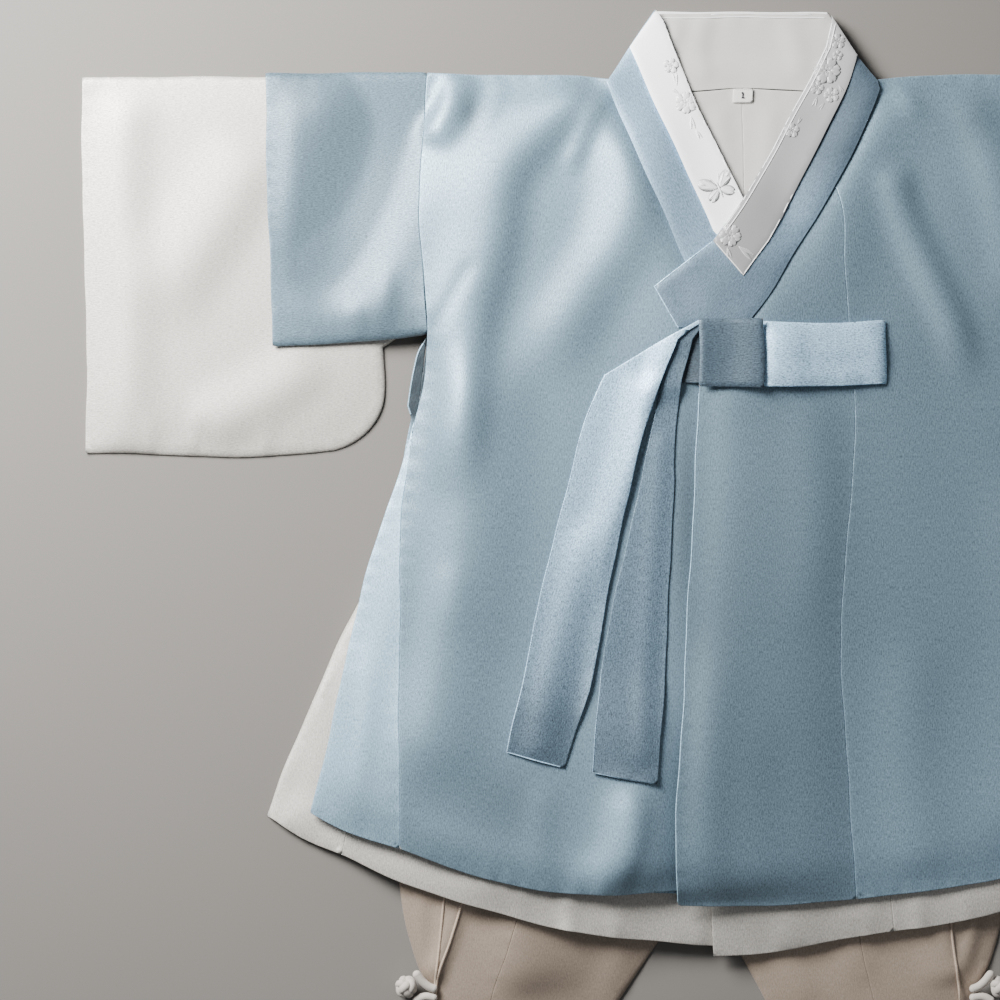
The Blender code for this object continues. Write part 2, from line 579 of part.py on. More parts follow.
def lay_coat(table):
    """The pale-blue coat: back, fronts with a left overlap, open side gores, half sleeves, collar."""
    half_seam = GAP / 2
    sleeves, gores, backs = {}, {}, {}
    for name, side in SIDES.items():
        sleeves[name] = [
            Edge(plan(COAT_SLEEVE_TOP, side, half_seam), closed=True),
            Edge(plan(COAT_CUFF, side, half_seam)),
            Edge(plan(COAT_SLEEVE_BOTTOM, side, half_seam), closed=True),
            Edge(plan(back_to_front(COAT_ARMHOLE), side, half_seam)),
        ]
        gores[name] = ring_of([
            Edge(plan(COAT_SIDE, side, half_seam)),
            Edge(plan(COAT_GORE_HEM, side, half_seam)),
            Edge(plan(back_to_front(COAT_GORE_SEAM), side, half_seam)),
        ])
        backs[f"coat_back_{name}"] = ring_of([
            Edge(plan(COAT_BACK_NECK[:1], side, half_seam) + plan(COAT_BACK_NECK[1:], side)),
            Edge(plan(COAT_SHOULDER + COAT_ARMHOLE[1:] + BACK_GORE_SEAM, side, -half_seam)),
            Edge(plan(COAT_BACK_HEM[:-1], side, -half_seam) + plan(COAT_BACK_HEM[-1:], side, half_seam)),
            Edge(plan(COAT_BACK_CENTRE, side, half_seam)),
        ])
        backs[f"coat_gore_back_{name}"] = ring_of([
            Edge(plan(BACK_GORE_SIDE, side, half_seam)),
            Edge(plan(BACK_GORE_HEM, side, half_seam)),
            Edge(plan(back_to_front(BACK_GORE_SEAM), side, half_seam)),
        ])
    sleeve_rings = {name: ring_of(edges) for name, edges in sleeves.items()}
    lower = table.pile.lay(list(backs.values()) + list(sleeve_rings.values()))
    for name, ring in backs.items():
        table.sheet(name, ring, lower, "coat_satin")

    table.sheets("collar_brocade", {"coat_strip_back": plan(STRIP_BACK)})
    neck = {
        "coat_collar_back": ring_of([Edge(plan(COLLAR_BACK_TOP)), Edge(plan([COLLAR_BACK_TOP[-1], NECK_SEAM[0]])),
                                     Edge(plan(NECK_SEAM)),
                                     Edge(plan([NECK_SEAM[-1], COLLAR_BACK_TOP[0]]))]),
        "coat_lining_right": plan(LINING, -1),
        "coat_lining_left": plan(LINING),
    }
    table.sheets("lining", neck)
    half_label, label_drop = LABEL_SIZE[0] / 2, LABEL_SIZE[1]
    table.sheets("label_tape", {"coat_label": plan([
        At(-half_label, LABEL_TOP_Y), At(half_label, LABEL_TOP_Y),
        At(half_label, LABEL_TOP_Y - label_drop), At(-half_label, LABEL_TOP_Y - label_drop),
    ])})

    body_side = COAT_SHOULDER + COAT_ARMHOLE[1:] + COAT_SIDE_TOP[1:] + COAT_GORE_SEAM[1:]
    fronts = {
        "right": {"coat_front_right": front_ring(
            COAT_NECK_RIGHT, body_side, COAT_HEM_RIGHT, COAT_EDGE_RIGHT, -1)},
        "left": {
            "coat_front_left": front_ring(
                COAT_NECK_LEFT, body_side, COAT_HEM_LEFT, back_to_front(OVERLAP_SEAM), 1,
                inner_shift=half_seam),
            "coat_overlap_left": ring_of([
                Edge(plan(OVERLAP_SEAM, 1, -half_seam)), Edge(plan(OVERLAP_HEM, 1, -half_seam)),
                Edge(plan(OVERLAP_EDGE, 1, -half_seam)), Edge(plan(OVERLAP_NECK, 1, -half_seam)),
            ]),
        },
    }
    for name, side in SIDES.items():
        fronts[name][f"coat_gore_front_{name}"] = gores[name]
        folds = mirrored(COAT_FRONT_FOLDS + COAT_SLEEVE_FOLDS, side)
        upper = table.pile.lay(list(fronts[name].values()) + [sleeve_rings[name]], folds)
        for piece, ring in fronts[name].items():
            table.sheet(piece, ring, upper, "coat_satin")
        table.tube(f"coat_sleeve_{name}", sleeves[name], lower, upper, "coat_satin")
    table.sheets("coat_satin", {"coat_collar_right": plan(COLLAR_RIGHT, -1)})
    table.sheets("collar_brocade", {"coat_strip_right": plan(STRIP_RIGHT, -1)})
    table.sheets("coat_satin", {"coat_collar_left": plan(COLLAR_LEFT)})
    table.sheets("collar_brocade", {"coat_strip_left": plan(STRIP_LEFT)})


def lay_tie(table):
    """The coat's tie: a short band, two tails, one loop and the knot over them."""
    table.sheets("coat_satin", {"tie_band": plan(TIE_BAND)})
    table.sheets("coat_satin", {"tie_tail_back": plan(TAIL_BACK)})
    table.sheets("coat_satin", {"tie_tail_front": plan(TAIL_FRONT)})
    loop = [Edge(plan(LOOP_TOP)), Edge(plan(LOOP_END), closed=True), Edge(plan(LOOP_BOTTOM)),
            Edge(plan([LOOP_BOTTOM[-1], LOOP_TOP[0]]))]
    lower, upper = table.pile.lay([ring_of(loop)]), table.pile.lay([ring_of(loop)])
    table.tube("tie_loop", loop, lower, upper, "coat_satin")
    table.sheets("coat_satin", {"tie_knot": plan(KNOT)}, cloth=KNOT_CLOTH)


def knot_button(collection, name, side):
    """A round knot button beside the ankle and the bent cord that holds it."""
    mesh = bmesh.new()
    centre = trouser_plan([BALL], side)[0].to_3d() + Vector((0, 0, BALL_RADIUS))
    bmesh.ops.create_uvsphere(mesh, u_segments=16, v_segments=10, radius=BALL_RADIUS,
                              matrix=Matrix.Translation(centre))
    ball = new_object(f"knot_ball_{name}", mesh, collection, "knot_cord")
    ball.data.shade_smooth()

    curve = bpy.data.curves.new(f"knot_loop_{name}", "CURVE")
    curve.dimensions = "3D"
    curve.bevel_depth = CORD_RADIUS * MM
    curve.bevel_resolution = 2
    curve.use_fill_caps = True
    path = curve.splines.new("POLY")
    points = trouser_plan(KNOT_LOOP, side)
    path.points.add(len(points) - 1)
    for vertex, point in zip(path.points, points):
        vertex.co = (point.x * MM, (point.y + SHOULDER_Y) * MM, CORD_Z * MM, 1)
    made = bpy.data.objects.new(curve.name, curve)
    curve.materials.append(material("knot_cord"))
    collection.objects.link(made)


def main():
    """Build the whole set."""
    for old in list(bpy.data.objects):
        bpy.data.objects.remove(old, do_unlink=True)
    collection = bpy.data.collections.new("korean_hanbok")
    cutters = bpy.data.collections.new("cutters")
    bpy.context.scene.collection.children.link(collection)
    bpy.context.scene.collection.children.link(cutters)
    table = Table(collection, cutters)
    lay_trousers(table)
    for name, side in SIDES.items():
        knot_button(collection, name, side)
    lay_robe(table)
    lay_coat(table)
    lay_tie(table)


main()
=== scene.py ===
"""A small child's Korean hanbok set, laid flat: baji trousers, an ivory robe and a pale-blue coat.

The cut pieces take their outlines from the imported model.  They are laid on one another from the
floor up on a raster of heights, so that each cloth drapes over what is below it.  Lengths here are
in millimetres in the plan of the garments: x runs across from the centre line, with the wearer's
right at -x, and y runs up from the shoulder line.  MM turns them into metres in a mesh.
"""

import logging
import math
from collections.abc import Callable, Sequence
from dataclasses import dataclass, field, replace
from enum import Enum

import bmesh
import bpy
import numpy as np
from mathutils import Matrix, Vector
from mathutils.geometry import delaunay_2d_cdt


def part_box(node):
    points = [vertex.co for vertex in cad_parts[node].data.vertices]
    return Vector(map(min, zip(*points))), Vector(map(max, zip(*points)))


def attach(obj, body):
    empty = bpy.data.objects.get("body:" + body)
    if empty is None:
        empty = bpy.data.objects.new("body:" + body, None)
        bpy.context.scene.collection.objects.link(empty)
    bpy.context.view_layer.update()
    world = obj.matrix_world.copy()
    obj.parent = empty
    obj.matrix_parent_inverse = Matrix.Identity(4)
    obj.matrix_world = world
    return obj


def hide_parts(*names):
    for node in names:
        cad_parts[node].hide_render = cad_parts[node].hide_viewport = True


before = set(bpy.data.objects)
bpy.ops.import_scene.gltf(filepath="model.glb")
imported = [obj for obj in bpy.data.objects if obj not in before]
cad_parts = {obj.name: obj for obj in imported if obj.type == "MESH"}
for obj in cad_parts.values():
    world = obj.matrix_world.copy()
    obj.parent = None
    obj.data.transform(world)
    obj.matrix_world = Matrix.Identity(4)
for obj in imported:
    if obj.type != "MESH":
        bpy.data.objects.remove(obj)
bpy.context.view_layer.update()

logging.basicConfig(level=logging.INFO, format="%(message)s")
LOG = logging.getLogger("hanbok")

MM = 0.001
SEAM = 0.13                       # how far each outline closes up its seams, mm
GAP = 0.2                         # air between one cloth and the next
CLOTH = 0.8                       # thickness of a faced and pressed piece
SHOULDER_RISE = 4.4               # the coat sleeve's upper edge stands this far above the shoulder line
SHOULDER_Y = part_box("coat_sleeve_right")[1].y / MM - SHOULDER_RISE
SIDES = {"right": -1, "left": 1}
TROUSERS_CENTRE = -21.5           # x of the seam between the legs
CROTCH = -446.0                   # y below which the legs part

Ring = np.ndarray
Field = np.ndarray


class Slot(Enum):
    """The record's material slots."""

    COAT = "coat_satin"
    ROBE = "robe_satin"
    TROUSERS = "trousers_satin"
    BROCADE = "collar_brocade"
    LINING = "lining"
    LABEL = "label_tape"
    CORD = "knot_cord"


# ---------------------------------------------------------------- shader nodes


class Value:
    """A socket of a node, with operators that add Math nodes."""

    def __init__(self, board: "Network", socket: bpy.types.NodeSocket) -> None:
        """Wrap a socket.

        Args:
            board: the network that it belongs to.
            socket: the output socket.
        """
        self.board = board
        self.socket = socket

    def math(self, operation: str, *others: "Value | float") -> "Value":
        """Add a Math node that starts from this value.

        Args:
            operation: the Math node's operation.
            others: its other values.

        Returns:
            The node's result.
        """
        return self.board.maths(operation, self, *others)

    def __add__(self, other: "Value | float") -> "Value":
        """Sum."""
        return self.math("ADD", other)

    __radd__ = __add__

    def __sub__(self, other: "Value | float") -> "Value":
        """Difference."""
        return self.math("SUBTRACT", other)

    def __rsub__(self, other: "Value | float") -> "Value":
        """Difference, from a number."""
        return self.board.maths("SUBTRACT", other, self)

    def __mul__(self, other: "Value | float") -> "Value":
        """Product."""
        return self.math("MULTIPLY", other)

    __rmul__ = __mul__

    def __truediv__(self, other: "Value | float") -> "Value":
        """Quotient."""
        return self.math("DIVIDE", other)

    def __pow__(self, other: "Value | float") -> "Value":
        """Power."""
        return self.math("POWER", other)


class Network:
    """A node tree, and the one way in which nodes are put in it."""

    def __init__(self, tree: bpy.types.NodeTree) -> None:
        """Start with an empty tree.

        Args:
            tree: the tree.
        """
        self.tree = tree
        self.tree.nodes.clear()

    def node(self, kind: str, settings: dict | None = None, inputs: dict | None = None,
             output: str | int | None = 0) -> Value | None:
        """Add a node.

        Args:
            kind: the node's type.
            settings: its settings, set first; "stops" fills a colour ramp.
            inputs: values or links of its sockets, by identifier or name.
            output: which output to hand back, if any.

        Returns:
            The chosen output.
        """
        made = self.tree.nodes.new(kind)
        for key, value in (settings or {}).items():
            if key == "stops":
                ramp = made.color_ramp
                while len(ramp.elements) < len(value):
                    ramp.elements.new(1.0)
                for element, (position, colour) in zip(ramp.elements, value):
                    element.position, element.color = position, colour
            else:
                setattr(made, key, value)
        for key, value in (inputs or {}).items():
            socket = next(s for s in made.inputs if key in (s.identifier, s.name) and s.enabled)
            if isinstance(value, Value):
                self.tree.links.new(value.socket, socket)
            else:
                socket.default_value = value
        if output is None:
            return None
        if isinstance(output, int):
            return Value(self, made.outputs[output])
        return Value(self, next(s for s in made.outputs if output in (s.identifier, s.name)))

    def maths(self, operation: str, *values: "Value | float") -> Value:
        """Add a Math node.

        Args:
            operation: its operation.
            values: its values in order.

        Returns:
            Its result.
        """
        names = ("Value", "Value_001", "Value_002")
        return self.node("ShaderNodeMath", {"operation": operation}, dict(zip(names, values)))


class Board(Network):
    """A material's node tree."""

    def __init__(self, name: str) -> None:
        """Make an empty material.

        Args:
            name: the material's name.
        """
        self.material = bpy.data.materials.new(name)
        self.material.use_nodes = True
        super().__init__(self.material.node_tree)

    def blend(self, factor: "Value | float", first: "Value | tuple", second: "Value | tuple",
              mode: str = "MIX") -> Value:
        """Mix two colours.

        Args:
            factor: how much of the second.
            first: the first colour.
            second: the second colour.
            mode: the Mix node's blend type.

        Returns:
            The mixed colour.
        """
        return self.node(
            "ShaderNodeMix", {"data_type": "RGBA", "blend_type": mode, "clamp_factor": True},
            {"Factor_Float": factor, "A_Color": first, "B_Color": second}, "Result_Color",
        )

    def grain_plane(self, along: float, across: float) -> Value:
        """The piece's own plane, scaled so that one unit is a given length on the cloth.

        Args:
            along: that length along the grain, in mm.
            across: that length across it.

        Returns:
            The scaled vector.
        """
        plane = self.node("ShaderNodeUVMap", {"uv_map": "grain"})
        scale = (1 / (along * MM), 1 / (across * MM), 1.0)
        return self.node("ShaderNodeVectorMath", {"operation": "MULTIPLY"},
                         {"Vector": plane, "Vector_001": scale})

    def noise(self, where: Value, scale: float = 1.0, detail: float = 2.0, roughness: float = 0.5,
              seed: float = 0.0) -> Value:
        """Noise over the plane.

        Args:
            where: the coordinates.
            scale: the noise's scale.
            detail: its octaves.
            roughness: their strength.
            seed: its fourth coordinate.

        Returns:
            A value round a half.
        """
        return self.node(
            "ShaderNodeTexNoise", {"noise_dimensions": "4D"},
            {"Vector": where, "W": seed, "Scale": scale, "Detail": detail, "Roughness": roughness}, "Fac",
        )

    def attribute(self, name: str) -> Value:
        """A float attribute of the mesh."""
        return self.node("ShaderNodeAttribute", {"attribute_name": name}, {}, "Fac")

    def finish(self, constants: dict, varying: dict) -> bpy.types.Material:
        """Add the shader and the output.

        Args:
            constants: fixed values of the shader's sockets.
            varying: its linked sockets.

        Returns:
            The material.
        """
        shader = self.node("ShaderNodeBsdfPrincipled", {}, {**constants, **varying})
        self.node("ShaderNodeOutputMaterial", {}, {"Surface": shader}, None)
        return self.material


def shade_of(colour: tuple, factor: float) -> tuple:
    """A colour made lighter or darker by a factor, with full alpha."""
    return tuple(min(1.0, channel * factor) for channel in colour[:3]) + (1.0,)


@dataclass(frozen=True)
class SatinFinish:
    """Polyester satin with a fine crepe grain: soft wide gloss and a speckle of lit threads."""

    name: str
    colour: tuple
    roughness: float = 0.46
    specular: float = 0.5
    sheen: float = 0.25
    sheen_roughness: float = 0.45
    metallic: float = 0.38        # share of the gloss that takes the dye's colour
    grain_along: float = 1.3      # mean length of a grain, mm
    grain_across: float = 0.65
    speckle: float = 0.55         # how far grains differ in colour
    mottle: float = 0.05          # slow change of colour over the cloth
    relief: float = 0.35
    rim: float = 1.12             # how much lighter a pressed edge is drawn: painted highlight

    def make(self) -> bpy.types.Material:
        """Build the material.

        Returns:
            The satin.
        """
        board = Board(self.name)
        grain = board.noise(board.grain_plane(self.grain_along, self.grain_across), detail=2.5, roughness=0.6)
        threads = board.noise(board.grain_plane(3.6, 0.34), detail=1.0, seed=3.0)
        slow = board.noise(board.grain_plane(70.0, 45.0), detail=2.0, seed=7.0)
        crepe = (grain - 0.5) * 0.75 + (threads - 0.5) * 0.45
        light = 1.0 + crepe * (2.0 * self.speckle) + (slow - 0.5) * (2.0 * self.mottle)
        # painted highlight along every edge, then the painted light and shade of each panel
        rim = board.attribute("rim")
        light = light * (1.0 + rim * (self.rim - 1.0)) * board.attribute("nap")
        grey = board.node("ShaderNodeCombineColor", {}, {"Red": light, "Green": light, "Blue": light})
        colour = board.blend(1.0, shade_of(self.colour, 1.0), grey, "MULTIPLY")
        bump = board.node("ShaderNodeBump", {}, {
            "Strength": self.relief, "Distance": 0.25 * MM, "Height": crepe + 0.5,
        })
        rough = board.node("ShaderNodeClamp", {},
                           {"Value": self.roughness - crepe * 0.35, "Min": 0.18, "Max": 0.9})
        return board.finish(
            {"Sheen Weight": self.sheen, "Sheen Roughness": self.sheen_roughness,
             "Specular IOR Level": self.specular, "Metallic": self.metallic},
            {"Base Color": colour, "Roughness": rough, "Normal": bump},
        )


@dataclass(frozen=True)
class PlainFinish:
    """A plain-woven cloth, tape or cord: a fine even weave with little gloss."""

    name: str
    colour: tuple
    roughness: float = 0.7
    pitch: float = 0.45           # thread spacing, mm
    contrast: float = 0.06
    relief: float = 0.3
    sheen: float = 0.2

    def make(self) -> bpy.types.Material:
        """Build the material.

        Returns:
            The woven cloth.
        """
        board = Board(self.name)
        plane = board.grain_plane(self.pitch, self.pitch)
        split = board.node("ShaderNodeSeparateXYZ", {}, {"Vector": plane})
        down = Value(board, split.socket.node.outputs[1])
        turn = 2 * math.pi
        weft = (split * turn).math("SINE")
        warp = (down * turn).math("SINE")
        slub = board.noise(board.grain_plane(4.0, 1.2), detail=2.0, seed=2.0)
        slow = board.noise(board.grain_plane(55.0, 40.0), detail=2.0, seed=5.0)
        weave = weft * warp * 0.5 + (slub - 0.5) * 1.6
        light = 1.0 + weave * self.contrast + (slow - 0.5) * 0.08
        # painted highlight: a little lighter along every edge
        light = light * (1.0 + board.attribute("rim") * 0.08)
        grey = board.node("ShaderNodeCombineColor", {}, {"Red": light, "Green": light, "Blue": light})
        colour = board.blend(1.0, shade_of(self.colour, 1.0), grey, "MULTIPLY")
        bump = board.node("ShaderNodeBump", {}, {
            "Strength": self.relief, "Distance": 0.2 * MM, "Height": weave * 0.5 + 0.5,
        })
        return board.finish(
            {"Sheen Weight": self.sheen, "Specular IOR Level": 0.35},
            {"Base Color": colour, "Roughness": self.roughness + weave * 0.05, "Normal": bump},
        )


@dataclass(frozen=True)
class FloorFinish:
    """A plain pale board under the garments."""

    colour: tuple = (0.185, 0.175, 0.163)

    def make(self) -> bpy.types.Material:
        """Build the material.

        Returns:
            The board.
        """
        board = Board("pale_board")
        where = board.node("ShaderNodeTexCoord", {}, {}, "Object")
        slow = board.noise(where, scale=9.0, detail=3.0)
        fine = board.noise(where, scale=900.0, detail=1.0)
        light = 1.0 + (slow - 0.5) * 0.04 + (fine - 0.5) * 0.03
        grey = board.node("ShaderNodeCombineColor", {}, {"Red": light, "Green": light, "Blue": light})
        colour = board.blend(1.0, shade_of(self.colour, 1.0), grey, "MULTIPLY")
        return board.finish({"Roughness": 0.85, "Specular IOR Level": 0.2}, {"Base Color": colour})


class Wardrobe:
    """All the finishes of the set."""

    def __init__(self) -> None:
        """Make each material once."""
        self.materials = {
            Slot.COAT: SatinFinish("coat_satin_cloth", (0.185, 0.285, 0.365), speckle=1.4, relief=0.5,
                                   rim=1.35).make(),
            "collar": SatinFinish("collar_satin_cloth", (0.185, 0.28, 0.375), speckle=1.4, relief=0.5,
                                  rim=1.25).make(),
            "tie": SatinFinish("tie_satin_cloth", (0.182, 0.282, 0.38), speckle=2.1, relief=0.6,
                               grain_along=1.1, grain_across=0.75, rim=1.25).make(),
            Slot.ROBE: SatinFinish("robe_satin_cloth", (0.53, 0.505, 0.465), speckle=1.0, roughness=0.5,
                                   mottle=0.03).make(),
            Slot.TROUSERS: SatinFinish("trousers_satin_cloth", (0.37, 0.293, 0.232), speckle=0.7,
                                       roughness=0.5).make(),
            Slot.BROCADE: SatinFinish("collar_brocade_cloth", (0.90, 0.905, 0.92), speckle=0.12,
                                      roughness=0.42, relief=0.2, grain_along=0.9, grain_across=0.4,
                                      metallic=0.08, rim=1.06).make(),
            Slot.LINING: PlainFinish("lining_cloth", (0.50, 0.49, 0.465)).make(),
            Slot.LABEL: PlainFinish("label_tape_cloth", (0.72, 0.71, 0.69), pitch=0.35).make(),
            "thread": SatinFinish("raised_thread", (0.93, 0.935, 0.95), speckle=0.15, roughness=0.34,
                                  relief=0.3, grain_along=0.5, grain_across=0.25, metallic=0.08).make(),
            Slot.CORD: PlainFinish("knot_cord_cloth", (0.52, 0.475, 0.43), pitch=0.5, contrast=0.1).make(),
        }


# ---------------------------------------------------------------- heights of the pile


class Raster:
    """A regular grid over the plan of the whole set, and what is done to heights on it."""

    LEFT, BOTTOM, STEP = -380.0, -540.0, 1.25
    COLUMNS, ROWS = 609, 477

    @classmethod
    def blank(cls) -> Field:
        """A field of zeros."""
        return np.zeros((cls.ROWS, cls.COLUMNS))

    @classmethod
    def mask(cls, ring: Ring) -> Field:
        """Which cells lie inside a ring.

        Args:
            ring: the closed ring's points.

        Returns:
            Ones inside and zeros outside.
        """
        toggles = np.zeros((cls.ROWS, cls.COLUMNS + 1), dtype=np.int64)
        columns = (ring[:, 0] - cls.LEFT) / cls.STEP
        rows = (ring[:, 1] - cls.BOTTOM) / cls.STEP
        for x0, y0, x1, y1 in zip(columns, rows, np.roll(columns, -1), np.roll(rows, -1)):
            low, high = math.ceil(min(y0, y1)), math.ceil(max(y0, y1))
            for row in range(low, high):
                crossing = x0 + (row - y0) / (y1 - y0) * (x1 - x0)
                toggles[row, min(max(math.ceil(crossing), 0), cls.COLUMNS)] += 1
        return (np.cumsum(toggles[:, :-1], axis=1) % 2).astype(float)

    @classmethod
    def spread(cls, heights: Field, radius: float) -> Field:
        """The highest value within a radius of each cell, on each axis.

        Args:
            heights: the field.
            radius: the reach, mm.

        Returns:
            The spread field.
        """
        reach = max(1, round(radius / cls.STEP))
        result = heights
        for axis in (0, 1):
            padded = np.concatenate([np.repeat(result.take([0], axis), reach, axis), result,
                                     np.repeat(result.take([-1], axis), reach, axis)], axis)
            length = result.shape[axis]
            result = padded.take(range(length), axis)
            for shift in range(1, 2 * reach + 1):
                result = np.maximum(result, padded.take(range(shift, shift + length), axis))
        return result

    @classmethod
    def soften(cls, heights: Field, radius: float) -> Field:
        """Blur with a tent that reaches a radius.

        Args:
            heights: the field.
            radius: the reach, mm.

        Returns:
            The blurred field.
        """
        half = max(1, round(radius / cls.STEP / 2))
        result = heights
        for axis in (0, 1, 0, 1):
            padded = np.concatenate([np.repeat(result.take([0], axis), half + 1, axis), result,
                                     np.repeat(result.take([-1], axis), half, axis)], axis)
            total = np.cumsum(padded, axis=axis)
            length = result.shape[axis]
            width = 2 * half + 1
            result = (total.take(range(width, width + length), axis)
                      - total.take(range(length), axis)) / width
        return result

    @classmethod
    def sample(cls, heights: Field, points: Ring) -> np.ndarray:
        """Heights at plan points, between the cells.

        Args:
            heights: the field.
            points: the plan points.

        Returns:
            One height for each.
        """
        column = np.clip((points[:, 0] - cls.LEFT) / cls.STEP, 0, cls.COLUMNS - 1.001)
        row = np.clip((points[:, 1] - cls.BOTTOM) / cls.STEP, 0, cls.ROWS - 1.001)
        c, r = column.astype(int), row.astype(int)
        right, up = column - c, row - r
        below = heights[r, c] * (1 - right) + heights[r, c + 1] * right
        above = heights[r + 1, c] * (1 - right) + heights[r + 1, c + 1] * right
        return below * (1 - up) + above * up


def ease(value: np.ndarray) -> np.ndarray:
    """Smooth step from 0 to 1."""
    value = np.clip(value, 0.0, 1.0)
    return value * value * (3 - 2 * value)


def flowing(points: Sequence, closed: bool, spacing: float, corner: float = 22.0) -> Ring:
    """A smooth line through points that keeps its sharp corners.

    Args:
        points: the plan points.
        closed: whether the line is a ring.
        spacing: length of each short side, mm.
        corner: a turn of more than this many degrees stays a corner.

    Returns:
        The line's points; a ring's first isn't repeated.
    """
    line = np.asarray(points, float)
    count = len(line)
    after = np.roll(line, -1, axis=0)
    lengths = np.linalg.norm(after - line, axis=1)
    runs = (after - line) / lengths[:, None]
    into = np.roll(runs, 1, axis=0)
    turns = np.degrees(np.arccos(np.clip((runs * into).sum(1), -1, 1)))
    before = np.roll(lengths, 1)
    tangents = (into * lengths[:, None] + runs * before[:, None]) / (lengths + before)[:, None]
    sharp = turns > corner
    if not closed:
        sharp[0] = sharp[-1] = True
    result = []
    for index in range(count if closed else count - 1):
        follows = (index + 1) % count
        start, end, length = line[index], line[follows], lengths[index]
        leave = runs[index] if sharp[index] else tangents[index]
        arrive = runs[index] if sharp[follows] else tangents[follows]
        steps = max(1, math.ceil(length / spacing))
        t = (np.arange(steps) / steps)[:, None]
        result.append(
            (2 * t**3 - 3 * t**2 + 1) * start + (t**3 - 2 * t**2 + t) * length * leave
            + (3 * t**2 - 2 * t**3) * end + (t**3 - t**2) * length * arrive
        )
    if not closed:
        result.append(line[-1:])
    return np.concatenate(result)


def sway(points: Ring) -> Ring:
    """Shift plan points as hand-laid cloth wanders; neighbours that share a seam shift alike.

    Args:
        points: the plan points.

    Returns:
        The shifted points.
    """
    x, y = points[:, 0], points[:, 1]
    across = 0.32 * np.sin(y / 14.7 + x / 61.0) + 0.16 * np.sin(y / 6.1 + 1.3 + x / 90.0)
    down = 0.30 * np.sin(x / 16.3 + y / 57.0 + 0.7) + 0.15 * np.sin(x / 6.7 + 2.1)
    return points + np.stack([across, down], axis=1)


@dataclass(frozen=True)
class Crease:
    """A soft ridge (or, with a negative height, a trough) along a line of the plan."""

    points: tuple                 # from its upper end down
    height: float
    lit: float                    # half width on the side of the light, the right of its run, mm
    shaded: float                 # half width on the other side
    start: float = 20.0           # length over which each end fades
    end: float = 30.0

    def relief(self) -> Field:
        """Its heights on the raster.

        Returns:
            The field to add.
        """
        line = flowing(self.points, False, 4.0, 80.0)
        reach = max(self.lit, self.shaded)
        low = np.floor((line.min(0) - reach - (Raster.LEFT, Raster.BOTTOM)) / Raster.STEP).astype(int)
        high = np.ceil((line.max(0) + reach - (Raster.LEFT, Raster.BOTTOM)) / Raster.STEP).astype(int)
        low, high = np.maximum(low, 0), np.minimum(high, (Raster.COLUMNS - 1, Raster.ROWS - 1))
        x, y = np.meshgrid(np.arange(low[0], high[0] + 1) * Raster.STEP + Raster.LEFT,
                           np.arange(low[1], high[1] + 1) * Raster.STEP + Raster.BOTTOM)
        nearest, along, side = np.full(x.shape, 1e9), np.zeros(x.shape), np.zeros(x.shape)
        travelled = 0.0
        for start, end in zip(line, line[1:]):
            run = end - start
            length = np.linalg.norm(run)
            t = np.clip(((x - start[0]) * run[0] + (y - start[1]) * run[1]) / length**2, 0, 1)
            away = np.hypot(x - start[0] - t * run[0], y - start[1] - t * run[1])
            closer = away < nearest
            nearest = np.where(closer, away, nearest)
            along = np.where(closer, travelled + t * length, along)
            cross = run[0] * (y - start[1]) - run[1] * (x - start[0])
            side = np.where(closer, cross, side)
            travelled += length
        width = np.where(side > 0, self.shaded, self.lit)
        bump = 0.5 * (1 + np.cos(np.pi * np.clip(nearest / width, 0, 1)))
        fade = ease(along / self.start) * ease((travelled - along) / self.end)
        result = Raster.blank()
        result[low[1]:high[1] + 1, low[0]:high[0] + 1] = self.height * bump * fade
        return Raster.soften(result, 0.4 * min(self.lit, self.shaded))


def mirror(creases: Sequence[Crease], stretch: float = 1.0) -> list[Crease]:
    """The same creases on the other side of the garment.

    Args:
        creases: the creases to mirror.
        stretch: a factor on their heights.

    Returns:
        The mirrored creases.
    """
    return [
        Crease(tuple((-x, y) for x, y in c.points), c.height * stretch, c.shaded, c.lit, c.start, c.end)
        for c in creases
    ]


# ---------------------------------------------------------------- cut pieces


def cad_outline(node: str) -> Ring:
    """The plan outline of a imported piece, from the lowest of its skins.

    Args:
        node: the CAD node's name.

    Returns:
        The corners of its ring in plan millimetres, anticlockwise.
    """
    mesh = bmesh.new()
    mesh.from_mesh(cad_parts[node].data)
    bmesh.ops.remove_doubles(mesh, verts=mesh.verts, dist=1e-6)
    mesh.normal_update()
    mesh.faces.index_update()
    faces = {face.index: face for face in mesh.faces if face.normal.z < -0.5}
    parts, unseen = [], set(faces)
    for first in sorted(faces):
        if first not in unseen:
            continue
        unseen.discard(first)
        stack, part = [faces[first]], [first]
        while stack:
            for edge in stack.pop().edges:
                for other in edge.link_faces:
                    if other.index in unseen:
                        unseen.discard(other.index)
                        part.append(other.index)
                        stack.append(other)
        parts.append(part)
    skin = set(max(parts, key=lambda part: sum(faces[index].calc_area() for index in part)))
    follows = {}
    for index in sorted(skin):
        for loop in faces[index].loops:
            if sum(other.index in skin for other in loop.edge.link_faces) == 1:
                follows[loop.link_loop_next.vert] = loop.vert
    start = min(follows, key=lambda vert: vert.index)
    chain, at = [start], follows[start]
    while at is not start:
        chain.append(at)
        at = follows[at]
    ring = np.array([(vert.co.x / MM, vert.co.y / MM - SHOULDER_Y) for vert in chain])
    mesh.free()
    while True:
        before, after = np.roll(ring, 1, axis=0), np.roll(ring, -1, axis=0)
        run = after - before
        off = np.abs(run[:, 0] * (ring[:, 1] - before[:, 1]) - run[:, 1] * (ring[:, 0] - before[:, 0]))
        off /= np.maximum(np.linalg.norm(run, axis=1), 1e-9)
        flat = off < 0.02
        keep = ~(flat & (np.arange(len(ring)) % 2 == 0)) if flat.any() else ~flat
        if keep.all():
            keep = ~flat
        if keep.all():
            break
        ring = ring[keep]
    return ring if signed_area(ring) > 0 else ring[::-1]


